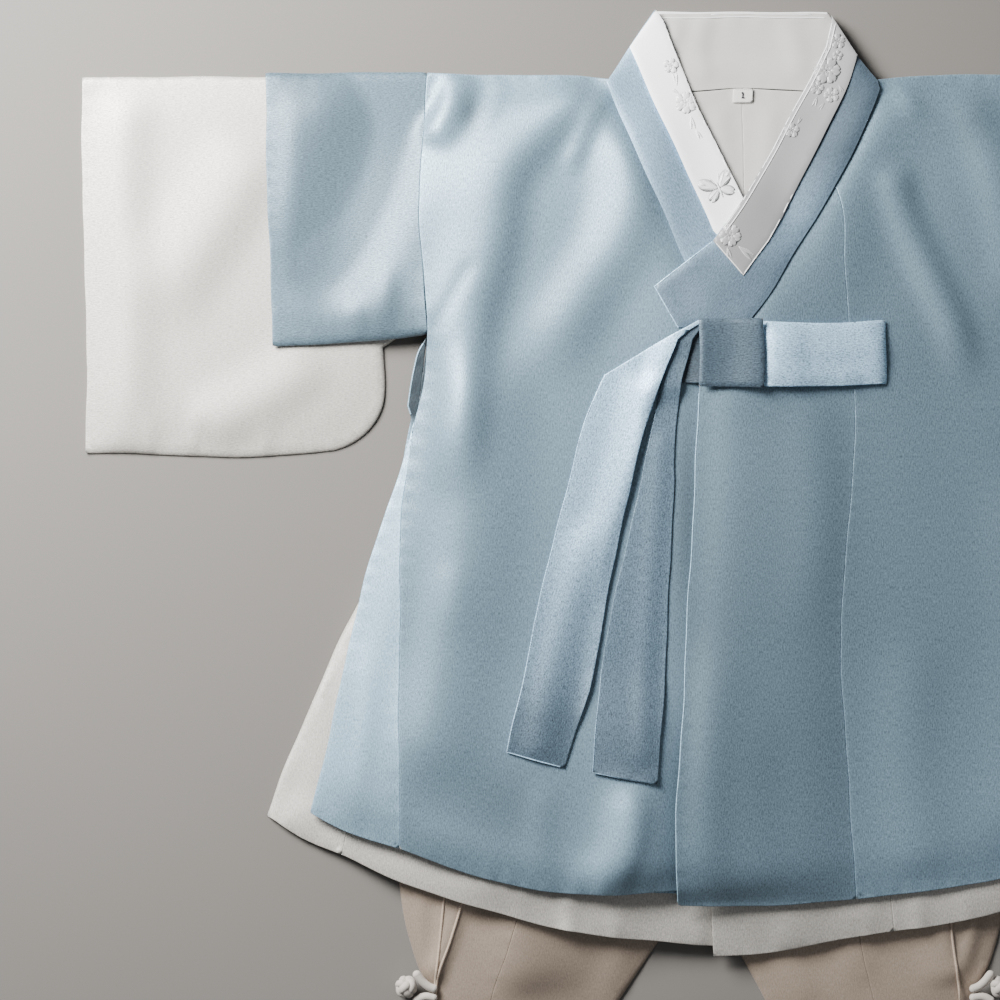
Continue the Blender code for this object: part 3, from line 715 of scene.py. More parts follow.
def signed_area(ring: Ring) -> float:
    """A ring's area, positive where it runs anticlockwise."""
    after = np.roll(ring, -1, axis=0)
    return float((ring[:, 0] * after[:, 1] - after[:, 0] * ring[:, 1]).sum() / 2)


def outward(ring: Ring) -> np.ndarray:
    """Unit vectors out of an anticlockwise ring at its points.

    Args:
        ring: the ring.

    Returns:
        One vector for each point.
    """
    run = np.roll(ring, -1, axis=0) - np.roll(ring, 1, axis=0)
    run /= np.maximum(np.linalg.norm(run, axis=1), 1e-9)[:, None]
    return np.stack([run[:, 1], -run[:, 0]], axis=1)


def to_ring(points: Ring, ring: Ring, sides: np.ndarray | None = None) -> tuple[np.ndarray, np.ndarray]:
    """How far points are from a ring, and where along it.

    Args:
        points: the plan points.
        ring: the ring.
        sides: which of its sides count, or None for all.

    Returns:
        Each point's distance and the station of its nearest point, mm.
    """
    after = np.roll(ring, -1, axis=0)
    run = after - ring
    length = np.linalg.norm(run, axis=1)
    station = np.concatenate([[0.0], np.cumsum(length)[:-1]])
    which = np.arange(len(ring)) if sides is None else np.flatnonzero(sides)
    best, where = np.full(len(points), 1e9), np.zeros(len(points))
    for first in range(0, len(points), 2000):
        block = points[first:first + 2000, None, :] - ring[None, which]
        t = np.clip((block * run[which]).sum(2) / np.maximum(length[which] ** 2, 1e-9), 0, 1)
        away = np.linalg.norm(block - t[:, :, None] * run[which], axis=2)
        nearest = away.argmin(1)
        rows = np.arange(len(nearest))
        best[first:first + 2000] = away[rows, nearest]
        chosen = which[nearest]
        where[first:first + 2000] = station[chosen] + t[rows, nearest] * length[chosen]
    return best, where


@dataclass
class Skin:
    """A triangulated plan of one wall of cloth."""

    points: Ring
    triangles: np.ndarray
    depth: np.ndarray             # distance in from the outline
    station: np.ndarray           # place along the outline
    rim: np.ndarray               # whether a point is on the outline


def triangulate(ring: Ring, spacing: float, insets: Sequence[float] = (0.12, 0.35, 0.75, 2.2)) -> Skin:
    """Fill a ring with near-regular triangles, finer along its edge.

    Args:
        ring: the anticlockwise ring.
        spacing: side of the triangles in the middle.
        insets: depths of the extra rows along the edge.

    Returns:
        The filled skin.
    """
    normals = outward(ring)
    rows = [ring]
    for depth in insets:
        row = ring - normals * depth
        away, _ = to_ring(row, ring)
        rows.append(row[away > 0.85 * depth])
    low, high = ring.min(0), ring.max(0)
    ys = np.arange(low[1] + 0.31 * spacing, high[1], spacing * math.sqrt(3) / 2)
    lattice = []
    for number, y in enumerate(ys):
        xs = np.arange(low[0] + 0.27 * spacing + (number % 2) * spacing / 2, high[0], spacing)
        lattice.append(np.stack([xs, np.full(len(xs), y)], axis=1))
    middle = np.concatenate(lattice)
    middle = middle[contains(ring, middle)]
    away, _ = to_ring(middle, ring)
    middle = middle[away > insets[-1] + 0.45 * spacing]
    points = np.concatenate(rows + [middle])
    count = len(ring)
    sides = [(index, (index + 1) % count) for index in range(count)]
    found, _, faces, *_ = delaunay_2d_cdt([Vector(p) for p in points], sides, [list(range(count))], 1, 1e-5)
    plan = np.array([(p.x, p.y) for p in found])
    triangles = np.array([tuple(face) for face in faces if len(face) == 3])
    a, b, c = (plan[triangles[:, k]] for k in range(3))
    area = (b[:, 0] - a[:, 0]) * (c[:, 1] - a[:, 1]) - (b[:, 1] - a[:, 1]) * (c[:, 0] - a[:, 0])
    triangles = np.where((area < 0)[:, None], triangles[:, ::-1], triangles)
    used = np.unique(triangles)
    renumber = np.full(len(plan), -1)
    renumber[used] = np.arange(len(used))
    triangles, plan = renumber[triangles], plan[used]
    sides = np.sort(np.concatenate([triangles[:, pair] for pair in ([0, 1], [1, 2], [2, 0])]), axis=1)
    unique, uses = np.unique(sides, axis=0, return_counts=True)
    rim = np.zeros(len(plan), bool)
    rim[unique[uses == 1].ravel()] = True
    depth, station = to_ring(plan, ring)
    depth[rim] = 0.0
    return Skin(plan, triangles, depth, station, rim)


def contains(ring: Ring, points: Ring) -> np.ndarray:
    """Which points lie inside a ring.

    Args:
        ring: the ring.
        points: the plan points.

    Returns:
        A truth value for each.
    """
    result = np.zeros(len(points), bool)
    for (x0, y0), (x1, y1) in zip(ring, np.roll(ring, -1, axis=0)):
        if y0 == y1:
            continue
        crosses = (y0 > points[:, 1]) != (y1 > points[:, 1])
        result ^= crosses & (points[:, 0] < x0 + (points[:, 1] - y0) / (y1 - y0) * (x1 - x0))
    return result


@dataclass(frozen=True)
class Pucker:
    """A shallow ripple along an outline, as stitching draws cloth in."""

    height: float = 0.12
    length: float = 11.0
    reach: float = 6.0

    def lift(self, skin: Skin) -> np.ndarray:
        """The ripple's height at each point of a skin."""
        wander = np.sin(skin.station / 31.0) + 0.7 * np.sin(skin.station / 12.7 + 1.0)
        wave = np.sin(2 * np.pi * skin.station / self.length + 1.4 * wander)
        strength = 0.55 + 0.45 * np.sin(skin.station / 47.0 + 0.6)
        return self.height * wave * strength * np.exp(-((skin.depth / self.reach) ** 2))


def rounded(depth: np.ndarray, radius: float) -> np.ndarray:
    """The rise of a quarter circle, from 0 at the edge to 1 at its radius."""
    return np.sqrt(1 - (1 - np.clip(depth / radius, 0, 1)) ** 2)


@dataclass
class Piece:
    """One cut piece of cloth, with one wall, or two where it is a flattened tube."""

    node: str
    slot: Slot
    spacing: float = 4.0          # side of its triangles
    grain: float = 90.0           # direction of the grain from +x, degrees
    thickness: float = CLOTH
    edge: float = 0.45            # radius of its edges
    pucker: Pucker = Pucker()
    nap: tuple = ((0.0, 1.0),)    # painted light and shade, the same whatever the lamps: how light the cloth is drawn by y, as y and factor
    painted_light_spots: tuple = ()              # painted highlights and painted shade in spots: x, y, reach in x and y, gain
    closed: Callable[[np.ndarray, np.ndarray], np.ndarray] | None = None
    fold: float = 2.6             # radius of the folds that close a tube
    seat: float = 0.72            # height of its edge line, as a share of its thickness
    flush: float = 0.0            # width over which its edge thins and sinks, mm
    corner: float = 22.0          # sharpest turn of its outline that is drawn as a curve, degrees
    look: str = ""                # a finish other than its slot's
    ring: Ring = field(init=False)
    parts: list = field(init=False, default_factory=list)
    floor: Field | None = field(init=False, default=None)

    def __post_init__(self) -> None:
        """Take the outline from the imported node."""
        ring = sway(flowing(cad_outline(self.node), True, min(2.5, self.spacing), self.corner))
        self.ring = ring + SEAM * outward(ring)

    def lay_wall(self, heights: Field) -> None:
        """Lay a wall at given heights; on a tube the second one folds over the first.

        Args:
            heights: the wall's underside.
        """
        ring, upper = self.ring, bool(self.parts)
        shut = None
        if upper and self.closed:
            normals = outward(ring)
            shut = self.closed(ring, normals)
            ring = ring + normals * (0.5 * shut)[:, None]
        skin = triangulate(ring, self.spacing)
        base = Raster.sample(heights, skin.points) + self.pucker.lift(skin)
        rise = rounded(skin.depth, self.edge)
        sunk = 1 - ease(skin.depth / self.flush) if self.flush else np.zeros(len(rise))
        base = base - 0.6 * GAP * sunk
        body = self.thickness * (1 - 0.6 * sunk)
        top = base + body * (self.seat + (1 - self.seat) * rise)
        bottom = base + body * self.seat * (1 - rise)
        if shut is not None:
            away, _ = to_ring(skin.points, ring, shut & np.roll(shut, -1))
            ground = Raster.sample(self.floor, skin.points) + 0.3 * self.thickness
            wrap = rounded(away, self.fold)
            top = ground + (top - ground) * wrap
            bottom = np.minimum(ground + (bottom - ground) * rounded(away, 1.6 * self.fold), top - 0.02)
            bottom = np.where(skin.rim, top, bottom)
        self.floor = heights
        self.parts.append((skin, top, bottom))

    def flat_size(self) -> tuple[float, float, float]:
        """The size of the flat cut of what shows.

        Returns:
            Width, length and area in metres, all round on a tube.
        """
        best = None
        for turn in np.radians(np.arange(0, 90, 1.0)):
            along = self.ring @ np.array([math.cos(turn), math.sin(turn)])
            across = self.ring @ np.array([-math.sin(turn), math.cos(turn)])
            sides = (np.ptp(along), np.ptp(across))
            if best is None or sides[0] * sides[1] < best[0] * best[1]:
                best = sides
        area = abs(signed_area(self.ring)) * MM * MM * len(self.parts)
        width, length = min(best) * MM, max(best) * MM
        return width * len(self.parts), length, min(area, width * len(self.parts) * length)

    def to_object(self, material: bpy.types.Material) -> bpy.types.Object:
        """Close the walls into shells and make the object.

        Args:
            material: its finish.

        Returns:
            The object.
        """
        places, faces, rims, plans, shift = [], [], [], [], 0
        for skin, top, bottom in self.parts:
            count = len(skin.points)
            under = np.where(skin.rim, np.arange(count), -1)
            inner = np.flatnonzero(~skin.rim)
            under[inner] = count + np.arange(len(inner))
            places += [np.column_stack([skin.points, top]),
                       np.column_stack([skin.points[inner], bottom[inner]])]
            faces += [skin.triangles + shift, under[skin.triangles][:, ::-1] + shift]
            # strength of the painted highlight along the edge: full on the outline, gone a few mm in
            edge = np.exp(-skin.depth / 0.7)
            rims += [edge, edge[inner]]
            plans += [skin.points, skin.points[inner]]
            shift += count + len(inner)
        made = mesh_object(self.node + "_cloth", np.concatenate(places), np.concatenate(faces), material)
        turn = math.radians(self.grain)
        plane = np.concatenate(plans)
        along = plane @ np.array([math.cos(turn), math.sin(turn)])
        across = plane @ np.array([-math.sin(turn), math.cos(turn)])
        set_grain(made.data, np.stack([along, across], axis=1) * MM)
        # painted light and shade: each vertex drawn lighter or darker by its y, then by the spots
        heights, factors = zip(*sorted(self.nap))
        set_values(made.data, "rim", np.concatenate(rims))
        nap = np.interp(plane[:, 1], heights, factors)
        for x, y, wide, high, gain in self.painted_light_spots:
            nap = nap * (1 + gain * np.exp(-((plane[:, 0] - x) / wide) ** 2
                                           - ((plane[:, 1] - y) / high) ** 2))
        set_values(made.data, "nap", nap)
        return made


def mesh_object(name: str, places: np.ndarray, faces: Sequence,
                material: bpy.types.Material) -> bpy.types.Object:
    """A smooth mesh object at the origin, from plan millimetres.

    Args:
        name: its name.
        places: vertex places, mm.
        faces: rows of vertex numbers.
        material: its finish.

    Returns:
        The object, linked to the scene.
    """
    world = np.asarray(places, float) * MM
    world[:, 1] += SHOULDER_Y * MM
    data = bpy.data.meshes.new(name)
    data.from_pydata(world.tolist(), [], np.asarray(faces).tolist())
    data.polygons.foreach_set("use_smooth", np.ones(len(data.polygons), bool))
    data.materials.append(material)
    data.update()
    made = bpy.data.objects.new(name, data)
    bpy.context.scene.collection.objects.link(made)
    return made


def set_values(data: bpy.types.Mesh, name: str, values: np.ndarray) -> None:
    """Give a mesh a float for each vertex.

    Args:
        data: the mesh.
        name: the attribute's name.
        values: the floats.
    """
    data.attributes.new(name, "FLOAT", "POINT").data.foreach_set("value", values.astype(np.float32))


def set_grain(data: bpy.types.Mesh, plane: np.ndarray) -> None:
    """Give a mesh its own cloth plane as a UV map.

    Args:
        data: the mesh.
        plane: each vertex's place on the cloth, in metres.
    """
    layer = data.uv_layers.new(name="grain")
    corners = np.zeros(len(data.loops), dtype=np.int64)
    data.loops.foreach_get("vertex_index", corners)
    layer.data.foreach_set("uv", plane[corners].astype(np.float32).ravel())


class Pile:
    """The pile of cloth so far, and the finished pieces."""

    def __init__(self, wardrobe: Wardrobe) -> None:
        """Start with the bare floor.

        Args:
            wardrobe: the finishes.
        """
        self.top = Raster.blank()
        self.wardrobe = wardrobe
        self.triangles = 0

    def lay(self, pieces: Sequence[Piece], bridge: float, loft: float = 0.0,
            creases: Sequence[Crease] = (), settle: float = 40.0, stiff: float = 0.0,
            droop: float = 0.0) -> Field:
        """Drape side-by-side pieces on the pile as one layer.

        Args:
            pieces: the pieces.
            bridge: how far stiff cloth reaches over a step below it, mm.
            loft: air under the middle of the layer, mm.
            creases: its creases.
            settle: distance from the edge over which the air runs out, mm.
            stiff: how gently it bends over a step, mm; its reach unless given.
            droop: width over which its edges sink on what lies below, mm.

        Returns:
            The layer's underside.
        """
        mask = np.clip(sum(Raster.mask(piece.ring) for piece in pieces), 0, 1)
        covered = Raster.soften(Raster.spread(mask, 2.5), 2.5)
        rest = Raster.soften(Raster.spread(self.top, bridge), stiff or bridge)
        lift = loft * ease(2 * Raster.soften(covered, settle) - 1)
        for crease in creases:
            lift = lift + crease.relief()
        lowest = Raster.spread(self.top, 2 * Raster.STEP)
        wanted = np.maximum(rest + lift, lowest)
        if droop:
            inner = ease(2 * Raster.soften(mask, droop) - 1)
            wanted = np.maximum(wanted + (1 - inner) * 0.5 * (Raster.soften(lowest, 6.0) - wanted), lowest)
        heights = Raster.soften(wanted, 2 * Raster.STEP) + GAP
        thickness = max(piece.thickness for piece in pieces)
        flush = max(piece.flush for piece in pieces)
        sunk = 1 - ease(2 * Raster.soften(mask, flush) - 1) if flush else 0.0
        surface = heights - 0.6 * GAP * sunk + thickness * (1 - 0.6 * sunk)
        self.top = np.where(mask > 0, np.maximum(surface, self.top), self.top)
        for piece in pieces:
            piece.lay_wall(heights)
        return heights

    def finish(self, piece: Piece, rests_on: Sequence[str], with_pieces: Sequence = ()) -> bpy.types.Object:
        """Turn a laid piece into its object, in place of its CAD solid.

        Args:
            piece: the piece.
            rests_on: what it lies on; not used.
            with_pieces: the trims on it; not used.

        Returns:
            The object.
        """
        made = piece.to_object(self.wardrobe.materials[piece.look or piece.slot])
        self.triangles += len(made.data.polygons)
        own(made, piece.slot, piece.node)
        width, length, area = piece.flat_size()
        LOG.info("%s: %d triangles, cut %.0f x %.0f mm", made.name, len(made.data.polygons),
                 width / MM, length / MM)
        return made


def own(made: bpy.types.Object, slot: Slot, *nodes: str) -> None:
    """Tie a finished object to the frame.

    Args:
        made: the object.
        slot: its material slot; not used.
        nodes: the CAD nodes that it stands for.
    """
    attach(made, "root")
    if nodes:
        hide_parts(*nodes)


# ---------------------------------------------------------------- repeated and swept parts


class Recipe(Network):
    """A Geometry Nodes tree with named inputs, grown once into a plain mesh."""

    def __init__(self, name: str, sizes: dict[str, str]) -> None:
        """Make the tree's outer sockets.

        Args:
            name: the tree's name.
            sizes: the socket type of each named input.
        """
        self.group = bpy.data.node_groups.new(name, "GeometryNodeTree")
        super().__init__(self.group)
        self.group.interface.new_socket("Geometry", in_out="INPUT", socket_type="NodeSocketGeometry")
        for label, kind in {**sizes, "Finish": "NodeSocketMaterial"}.items():
            self.group.interface.new_socket(label, in_out="INPUT", socket_type=kind)
        self.group.interface.new_socket("Geometry", in_out="OUTPUT", socket_type="NodeSocketGeometry")
        self.entry = self.tree.nodes.new("NodeGroupInput")
        self.build()

    def size(self, label: str) -> Value:
        """One of the tree's inputs."""
        return Value(self, self.entry.outputs[label])

    def build(self) -> None:
        """Add the tree's nodes."""
        raise NotImplementedError

    def close(self, geometry: Value) -> None:
        """Realize what was made, smooth it, give it its finish and put it out.

        Args:
            geometry: the made geometry.
        """
        real = self.node("GeometryNodeRealizeInstances", {}, {"Geometry": geometry})
        smooth = self.node("GeometryNodeSetShadeSmooth", {}, {"Geometry": real})
        dressed = self.node("GeometryNodeSetMaterial", {},
                            {"Geometry": smooth, "Material": self.size("Finish")})
        self.node("NodeGroupOutput", {}, {"Geometry": dressed}, None)

    def grow(self, source: bpy.types.Mesh, **sizes: object) -> bpy.types.Mesh:
        """Run the tree on a mesh.

        Args:
            source: the mesh that it starts from.
            sizes: its inputs, with underscores for spaces.

        Returns:
            The plain mesh that it made.
        """
        holder = bpy.data.objects.new("source", source)
        bpy.context.scene.collection.objects.link(holder)
        modifier = holder.modifiers.new("recipe", "NODES")
        modifier.node_group = self.group
        sockets = {item.name: item.identifier for item in self.group.interface.items_tree
                   if item.in_out == "INPUT"}
        for label, value in sizes.items():
            modifier[sockets[label.replace("_", " ")]] = value
        graph = bpy.context.evaluated_depsgraph_get()
        made = bpy.data.meshes.new_from_object(holder.evaluated_get(graph), depsgraph=graph)
        bpy.data.objects.remove(holder, do_unlink=True)
        return made


class CordRecipe(Recipe):
    """A round cord along a line of vertices."""

    def __init__(self) -> None:
        """Make the tree."""
        super().__init__("cord along a path", {"Radius": "NodeSocketFloat", "Sides": "NodeSocketInt"})

    def build(self) -> None:
        """Sweep a circle along the path."""
        path = self.node("GeometryNodeMeshToCurve", {}, {"Mesh": self.size("Geometry")})
        profile = self.node("GeometryNodeCurvePrimitiveCircle", {"mode": "RADIUS"},
                            {"Resolution": self.size("Sides"), "Radius": self.size("Radius")})
        tube = self.node("GeometryNodeCurveToMesh", {},
                         {"Curve": path, "Profile Curve": profile, "Fill Caps": True})
        self.close(tube)


class StitchRecipe(Recipe):
    """Short stitches laid end to end along a line of vertices."""

    def __init__(self) -> None:
        """Make the tree."""
        super().__init__("stitches along a path", {
            "Pitch": "NodeSocketFloat", "Length": "NodeSocketFloat", "Thickness": "NodeSocketFloat"})

    def build(self) -> None:
        """Set a thread's short run at each pitch of the path, turned along it."""
        path = self.node("GeometryNodeMeshToCurve", {}, {"Mesh": self.size("Geometry")})
        spots = self.node("GeometryNodeResampleCurve", {"mode": "LENGTH"},
                          {"Curve": path, "Length": self.size("Pitch")})
        thread = self.node("GeometryNodeMeshUVSphere", {}, {"Segments": 6, "Rings": 4, "Radius": 0.5})
        size = self.node("ShaderNodeCombineXYZ", {}, {
            "X": self.size("Thickness"), "Y": self.size("Thickness"), "Z": self.size("Length")})
        tangent = self.node("GeometryNodeInputTangent")
        turn = self.node("FunctionNodeAlignRotationToVector", {"axis": "Z"}, {"Vector": tangent})
        laid = self.node("GeometryNodeInstanceOnPoints", {},
                         {"Points": spots, "Instance": thread, "Rotation": turn, "Scale": size})
        self.close(laid)


class RosetteRecipe(Recipe):
    """The same petal set several times round a centre."""

    def __init__(self) -> None:
        """Make the tree."""
        super().__init__("petals round a centre", {"Petals": "NodeSocketInt", "Ring": "NodeSocketFloat"})

    def build(self) -> None:
        """Stand the petal on each point of a ring, pointing outwards."""
        ring = self.node("GeometryNodeMeshCircle", {}, {"Vertices": self.size("Petals"),
                                                        "Radius": self.size("Ring")})
        out = self.node("GeometryNodeInputPosition")
        turn = self.node("FunctionNodeAlignRotationToVector", {"axis": "X", "pivot_axis": "Z"},
                         {"Vector": out})
        laid = self.node("GeometryNodeInstanceOnPoints", {},
                         {"Points": ring, "Instance": self.size("Geometry"), "Rotation": turn})
        self.close(laid)


def path_mesh(places: np.ndarray, sides: Sequence[tuple] | None = None) -> bpy.types.Mesh:
    """Lines of vertices from plan millimetres.

    Args:
        places: the places, mm.
        sides: pairs of places that are joined; without them, each place and the next.

    Returns:
        The mesh, in metres on the shoulder line.
    """
    world = np.asarray(places, float) * MM
    world[:, 1] += SHOULDER_Y * MM
    sides = sides or [(index, index + 1) for index in range(len(world) - 1)]
    data = bpy.data.meshes.new("path")
    data.from_pydata(world.tolist(), sides, [])
    return data


def grown_object(name: str, data: bpy.types.Mesh, painted_light_factor: float = 1.0) -> bpy.types.Object:
    """Link a grown mesh as an object, with its plan as its cloth plane.

    Args:
        name: the object's name.
        data: the mesh.
        painted_light_factor: how much lighter it is drawn, as painted highlight; below 1 it is painted shade.

    Returns:
        The object.
    """
    places = np.zeros(len(data.vertices) * 3)
    data.vertices.foreach_get("co", places)
    for layer in list(data.uv_layers):
        data.uv_layers.remove(layer)
    set_grain(data, places.reshape(-1, 3)[:, :2])
    set_values(data, "rim", np.zeros(len(data.vertices)))
    set_values(data, "nap", np.full(len(data.vertices), painted_light_factor))
    data.name = name
    made = bpy.data.objects.new(name, data)
    bpy.context.scene.collection.objects.link(made)
    return made


@dataclass(frozen=True)
class Petal:
    """A raised lens of satin stitch, pointing along +x from the origin."""

    length: float
    width: float
    height: float = 0.30
    notch: float = 0.0            # depth of the dip at its tip, as a share of its length
    blunt: float = 0.7            # below 1 fills out its outline
    points: int = 9

    def solid(self) -> tuple[np.ndarray, np.ndarray]:
        """Its closed shell.

        Returns:
            Places in mm, and triangles.
        """
        t = np.linspace(0, 1, self.points)
        half = self.width / 2 * np.sin(np.pi * np.clip(t, 0.02, 0.98)) ** self.blunt * (0.75 + 0.35 * t)
        upper = np.stack([t * self.length, half], axis=1)
        lower = upper[::-1] * (1, -1)
        tip = np.array([[self.length * (1 - self.notch), 0.0]])
        border = np.concatenate([upper, tip, lower])
        count = len(border)
        spine = np.stack([border[:, 0] * 0.86 + 0.07 * self.length, border[:, 1] * 0.45], axis=1)
        heart = np.array([[0.52 * self.length, 0.0]])
        rows = [np.column_stack([border, np.zeros(count)]),
                np.column_stack([spine, np.full(count, 0.8 * self.height)]),
                np.column_stack([heart, [self.height]]),
                np.column_stack([heart, [-0.1]])]
        faces = []
        for index in range(count):
            after = (index + 1) % count
            faces += [(after, index, count + index), (after, count + index, count + after),
                      (count + after, count + index, 2 * count), (index, after, 2 * count + 1)]
        return np.concatenate(rows), np.array(faces)


@dataclass(frozen=True)
class Sprig:
    """One petal or a rosette of petals, set at a place on a strip."""

    x: float
    y: float
    petal: Petal
    petals: int = 1
    ring: float = 0.0
    turn: float = 0.0             # degrees
    painted_light_pair: tuple = (1.0, 0.8)     # painted light and shade: how light its face and its outline are drawn


class Embroidery:
    """Raised motifs on a strip of brocade."""

    def __init__(self, finish: bpy.types.Material) -> None:
        """Keep the finish and make the rosette tree.

        Args:
            finish: the thread's finish.
        """
        self.finish = finish
        self.rosette = RosetteRecipe()

    def sew(self, name: str, sprigs: Sequence[Sprig], ground: Field) -> bpy.types.Object:
        """Make one object of all the sprigs, draped on the ground.

        Args:
            name: the object's name.
            sprigs: the sprigs.
            ground: heights of the strip's face.

        Returns:
            The object.
        """
        places, faces, painted_light_pair, shift = [], [], [], 0
        for number, sprig in enumerate(sprigs):
            shell, triangles = sprig.petal.solid()
            if sprig.petals > 1:
                data = bpy.data.meshes.new("petal")
                data.from_pydata(shell.tolist(), [], triangles.tolist())
                data = self.rosette.grow(data, Petals=sprig.petals, Ring=sprig.ring, Finish=self.finish)
                shell = np.zeros(len(data.vertices) * 3)
                data.vertices.foreach_get("co", shell)
                shell = shell.reshape(-1, 3)
                triangles = np.array([tuple(face.vertices) for face in data.polygons])
            turn = math.radians(sprig.turn)
            x = sprig.x + shell[:, 0] * math.cos(turn) - shell[:, 1] * math.sin(turn)
            y = sprig.y + shell[:, 0] * math.sin(turn) + shell[:, 1] * math.cos(turn)
            z = shell[:, 2] + Raster.sample(ground, np.stack([x, y], axis=1)) + 0.02 * (number % 7)
            places.append(np.stack([x, y, z], axis=1))
            faces.append(triangles + shift)
            face, outline = sprig.painted_light_pair
            painted_light_pair.append(np.where(shell[:, 2] < 0.05, outline, face))
            shift += len(shell)
        made = mesh_object(name, np.concatenate(places), np.concatenate(faces), self.finish)
        plane = np.concatenate(places)[:, :2] * MM
        set_grain(made.data, plane)
        set_values(made.data, "rim", np.zeros(len(plane)))
        set_values(made.data, "nap", np.concatenate(painted_light_pair))
        return made


def with_painted_light(sprigs: Sequence[Sprig], face: float, outline: float) -> list[Sprig]:
    """The same sprigs with other painted light and shade on their faces and outlines."""
    return [replace(sprig, painted_light_pair=(face, outline)) for sprig in sprigs]


def flower(x: float, y: float, radius: float, turn: float = 0.0, petals: int = 5) -> list[Sprig]:
    """A layered blossom: broad notched petals, a ring of small ones and a bud.

    Args:
        x: its centre.
        y: its centre.
        radius: its radius, mm.
        turn: its turn, degrees.
        petals: how many outer petals it has.

    Returns:
        Its sprigs.
    """
    outer = Petal(0.74 * radius, 0.95 * radius, 0.34, 0.16, 0.55)
    inner = Petal(0.42 * radius, 0.46 * radius, 0.3, 0.1, 0.6)
    bud = Petal(0.2 * radius, 0.12 * radius, 0.4)
    return [
        Sprig(x, y, outer, petals, 0.24 * radius, turn),
        Sprig(x, y, inner, petals, 0.10 * radius, turn + 180 / petals),
        Sprig(x, y, bud, 6, 0.02 * radius, turn),
    ]


def leaf(x: float, y: float, length: float, turn: float, width: float = 0.42) -> list[Sprig]:
    """A pointed leaf in two halves with a vein between them.

    Args:
        x: its stalk's end.
        y: its stalk's end.
        length: its length, mm.
        turn: its direction, degrees.
        width: its width as a share of its length.

    Returns:
        Its sprigs.
    """
    half = Petal(length, 0.5 * width * length, 0.26, 0.0, 0.9)
    return [Sprig(x, y, half, turn=turn + 9), Sprig(x, y, half, turn=turn - 9)]


def butterfly(x: float, y: float, span: float, turn: float) -> list[Sprig]:
    """A butterfly with open wings, a body and two feelers.

    Args:
        x: its middle.
        y: its middle.
        span: its width, mm.
        turn: its turn, degrees.

    Returns:
        Its sprigs.
    """
    upper = Petal(0.56 * span, 0.36 * span, 0.3, 0.06, 0.5)
    lower = Petal(0.40 * span, 0.30 * span, 0.3, 0.12, 0.5)
    eye = Petal(0.16 * span, 0.13 * span, 0.46, 0.0, 0.5)
    feeler = Petal(0.30 * span, 0.035 * span, 0.2)
    body = Petal(0.46 * span, 0.08 * span, 0.5, 0.0, 0.8)
    vein = Petal(0.36 * span, 0.035 * span, 0.44)
    wings = ((upper, 36, 0.03), (lower, -34, 0.03), (eye, 36, 0.36), (feeler, 70, 0.10),
             (vein, 22, 0.12), (vein, 50, 0.12), (vein, -24, 0.06), (vein, -44, 0.06))
    found = []
    for side in (1, -1):
        for petal, angle, out in wings:
            way = math.radians(90 + side * (90 - angle) + turn)
            found.append(Sprig(x + out * span * math.cos(way), y + out * span * math.sin(way), petal,
                               turn=math.degrees(way)))
    way = math.radians(turn - 90)
    found.append(Sprig(x - 0.2 * span * math.cos(way), y - 0.2 * span * math.sin(way), body, turn=turn - 90))
    return found


def pipe(pile: Pile, name: str, piece: Piece, chosen: Callable, insets: Sequence[float],
         radius: float = 0.34, look: object = "thread", painted_light_factor: float = 1.0,
         level: float = 0.0) -> bpy.types.Object:
    """Lay thin piping just inside an edge of a piece.

    Args:
        pile: the pile that it lies on.
        name: the object's name.
        piece: the piece.
        chosen: which of its outline's points, from the ring and its outward vectors.
        insets: how far in each line lies, mm.
        radius: the piping's radius, mm.
        look: its finish.
        painted_light_factor: how much lighter it is drawn, as painted highlight; below 1 it is painted shade.
        level: how far in the cloth's height is read, mm; at the line itself unless farther.

    Returns:
        The piping.
    """
    out = outward(piece.ring)
    keep = chosen(piece.ring, out)
    start = next(index for index in range(len(keep)) if keep[index] and not keep[index - 1])
    order = [(start + step) % len(keep) for step in range(int(keep.sum()))]
    lines, sides, count = [], [], 0
    for inset in insets:
        line = piece.ring[order] - out[order] * inset
        read = piece.ring[order] - out[order] * max(inset, level)
        height = Raster.sample(pile.top, read) + (-0.5 if level else 0.35) * radius
        height = np.maximum(height, np.median(height) - 6)
        lines.append(np.column_stack([line, height]))
        sides += [(count + index, count + index + 1) for index in range(len(line) - 1)]
        count += len(line)
    path = path_mesh(np.concatenate(lines), sides)
    grown = CordRecipe().grow(path, Radius=radius * MM, Sides=8, Finish=pile.wardrobe.materials[look])
    made = grown_object(name, grown, painted_light_factor)
    own(made, piece.slot)
    return made


# ---------------------------------------------------------------- tube folds


@dataclass(frozen=True)
class Edge:
    """The part of an outline whose outward normals and height lie inside given limits."""

    across: tuple = (-math.inf, math.inf)     # the normal's x
    along: tuple = (-math.inf, math.inf)      # the normal's y
    height: tuple = (-math.inf, math.inf)     # y, mm
    paired: bool = False                      # x counts away from the centre line
    either: bool = False                      # x counts without its sign

    def __call__(self, ring: Ring, normals: np.ndarray) -> np.ndarray:
        """Choose points of an outline.

        Args:
            ring: the outline.
            normals: its outward normals.

        Returns:
            True at each chosen point.
        """
        x = normals[:, 0] * (math.copysign(1, ring[:, 0].mean()) if self.paired else 1)
        values = (np.abs(x) if self.either else x, normals[:, 1], ring[:, 1])
        limits = (self.across, self.along, self.height)
        return np.logical_and.reduce([(value > low) & (value < high)
                                      for value, (low, high) in zip(values, limits)])


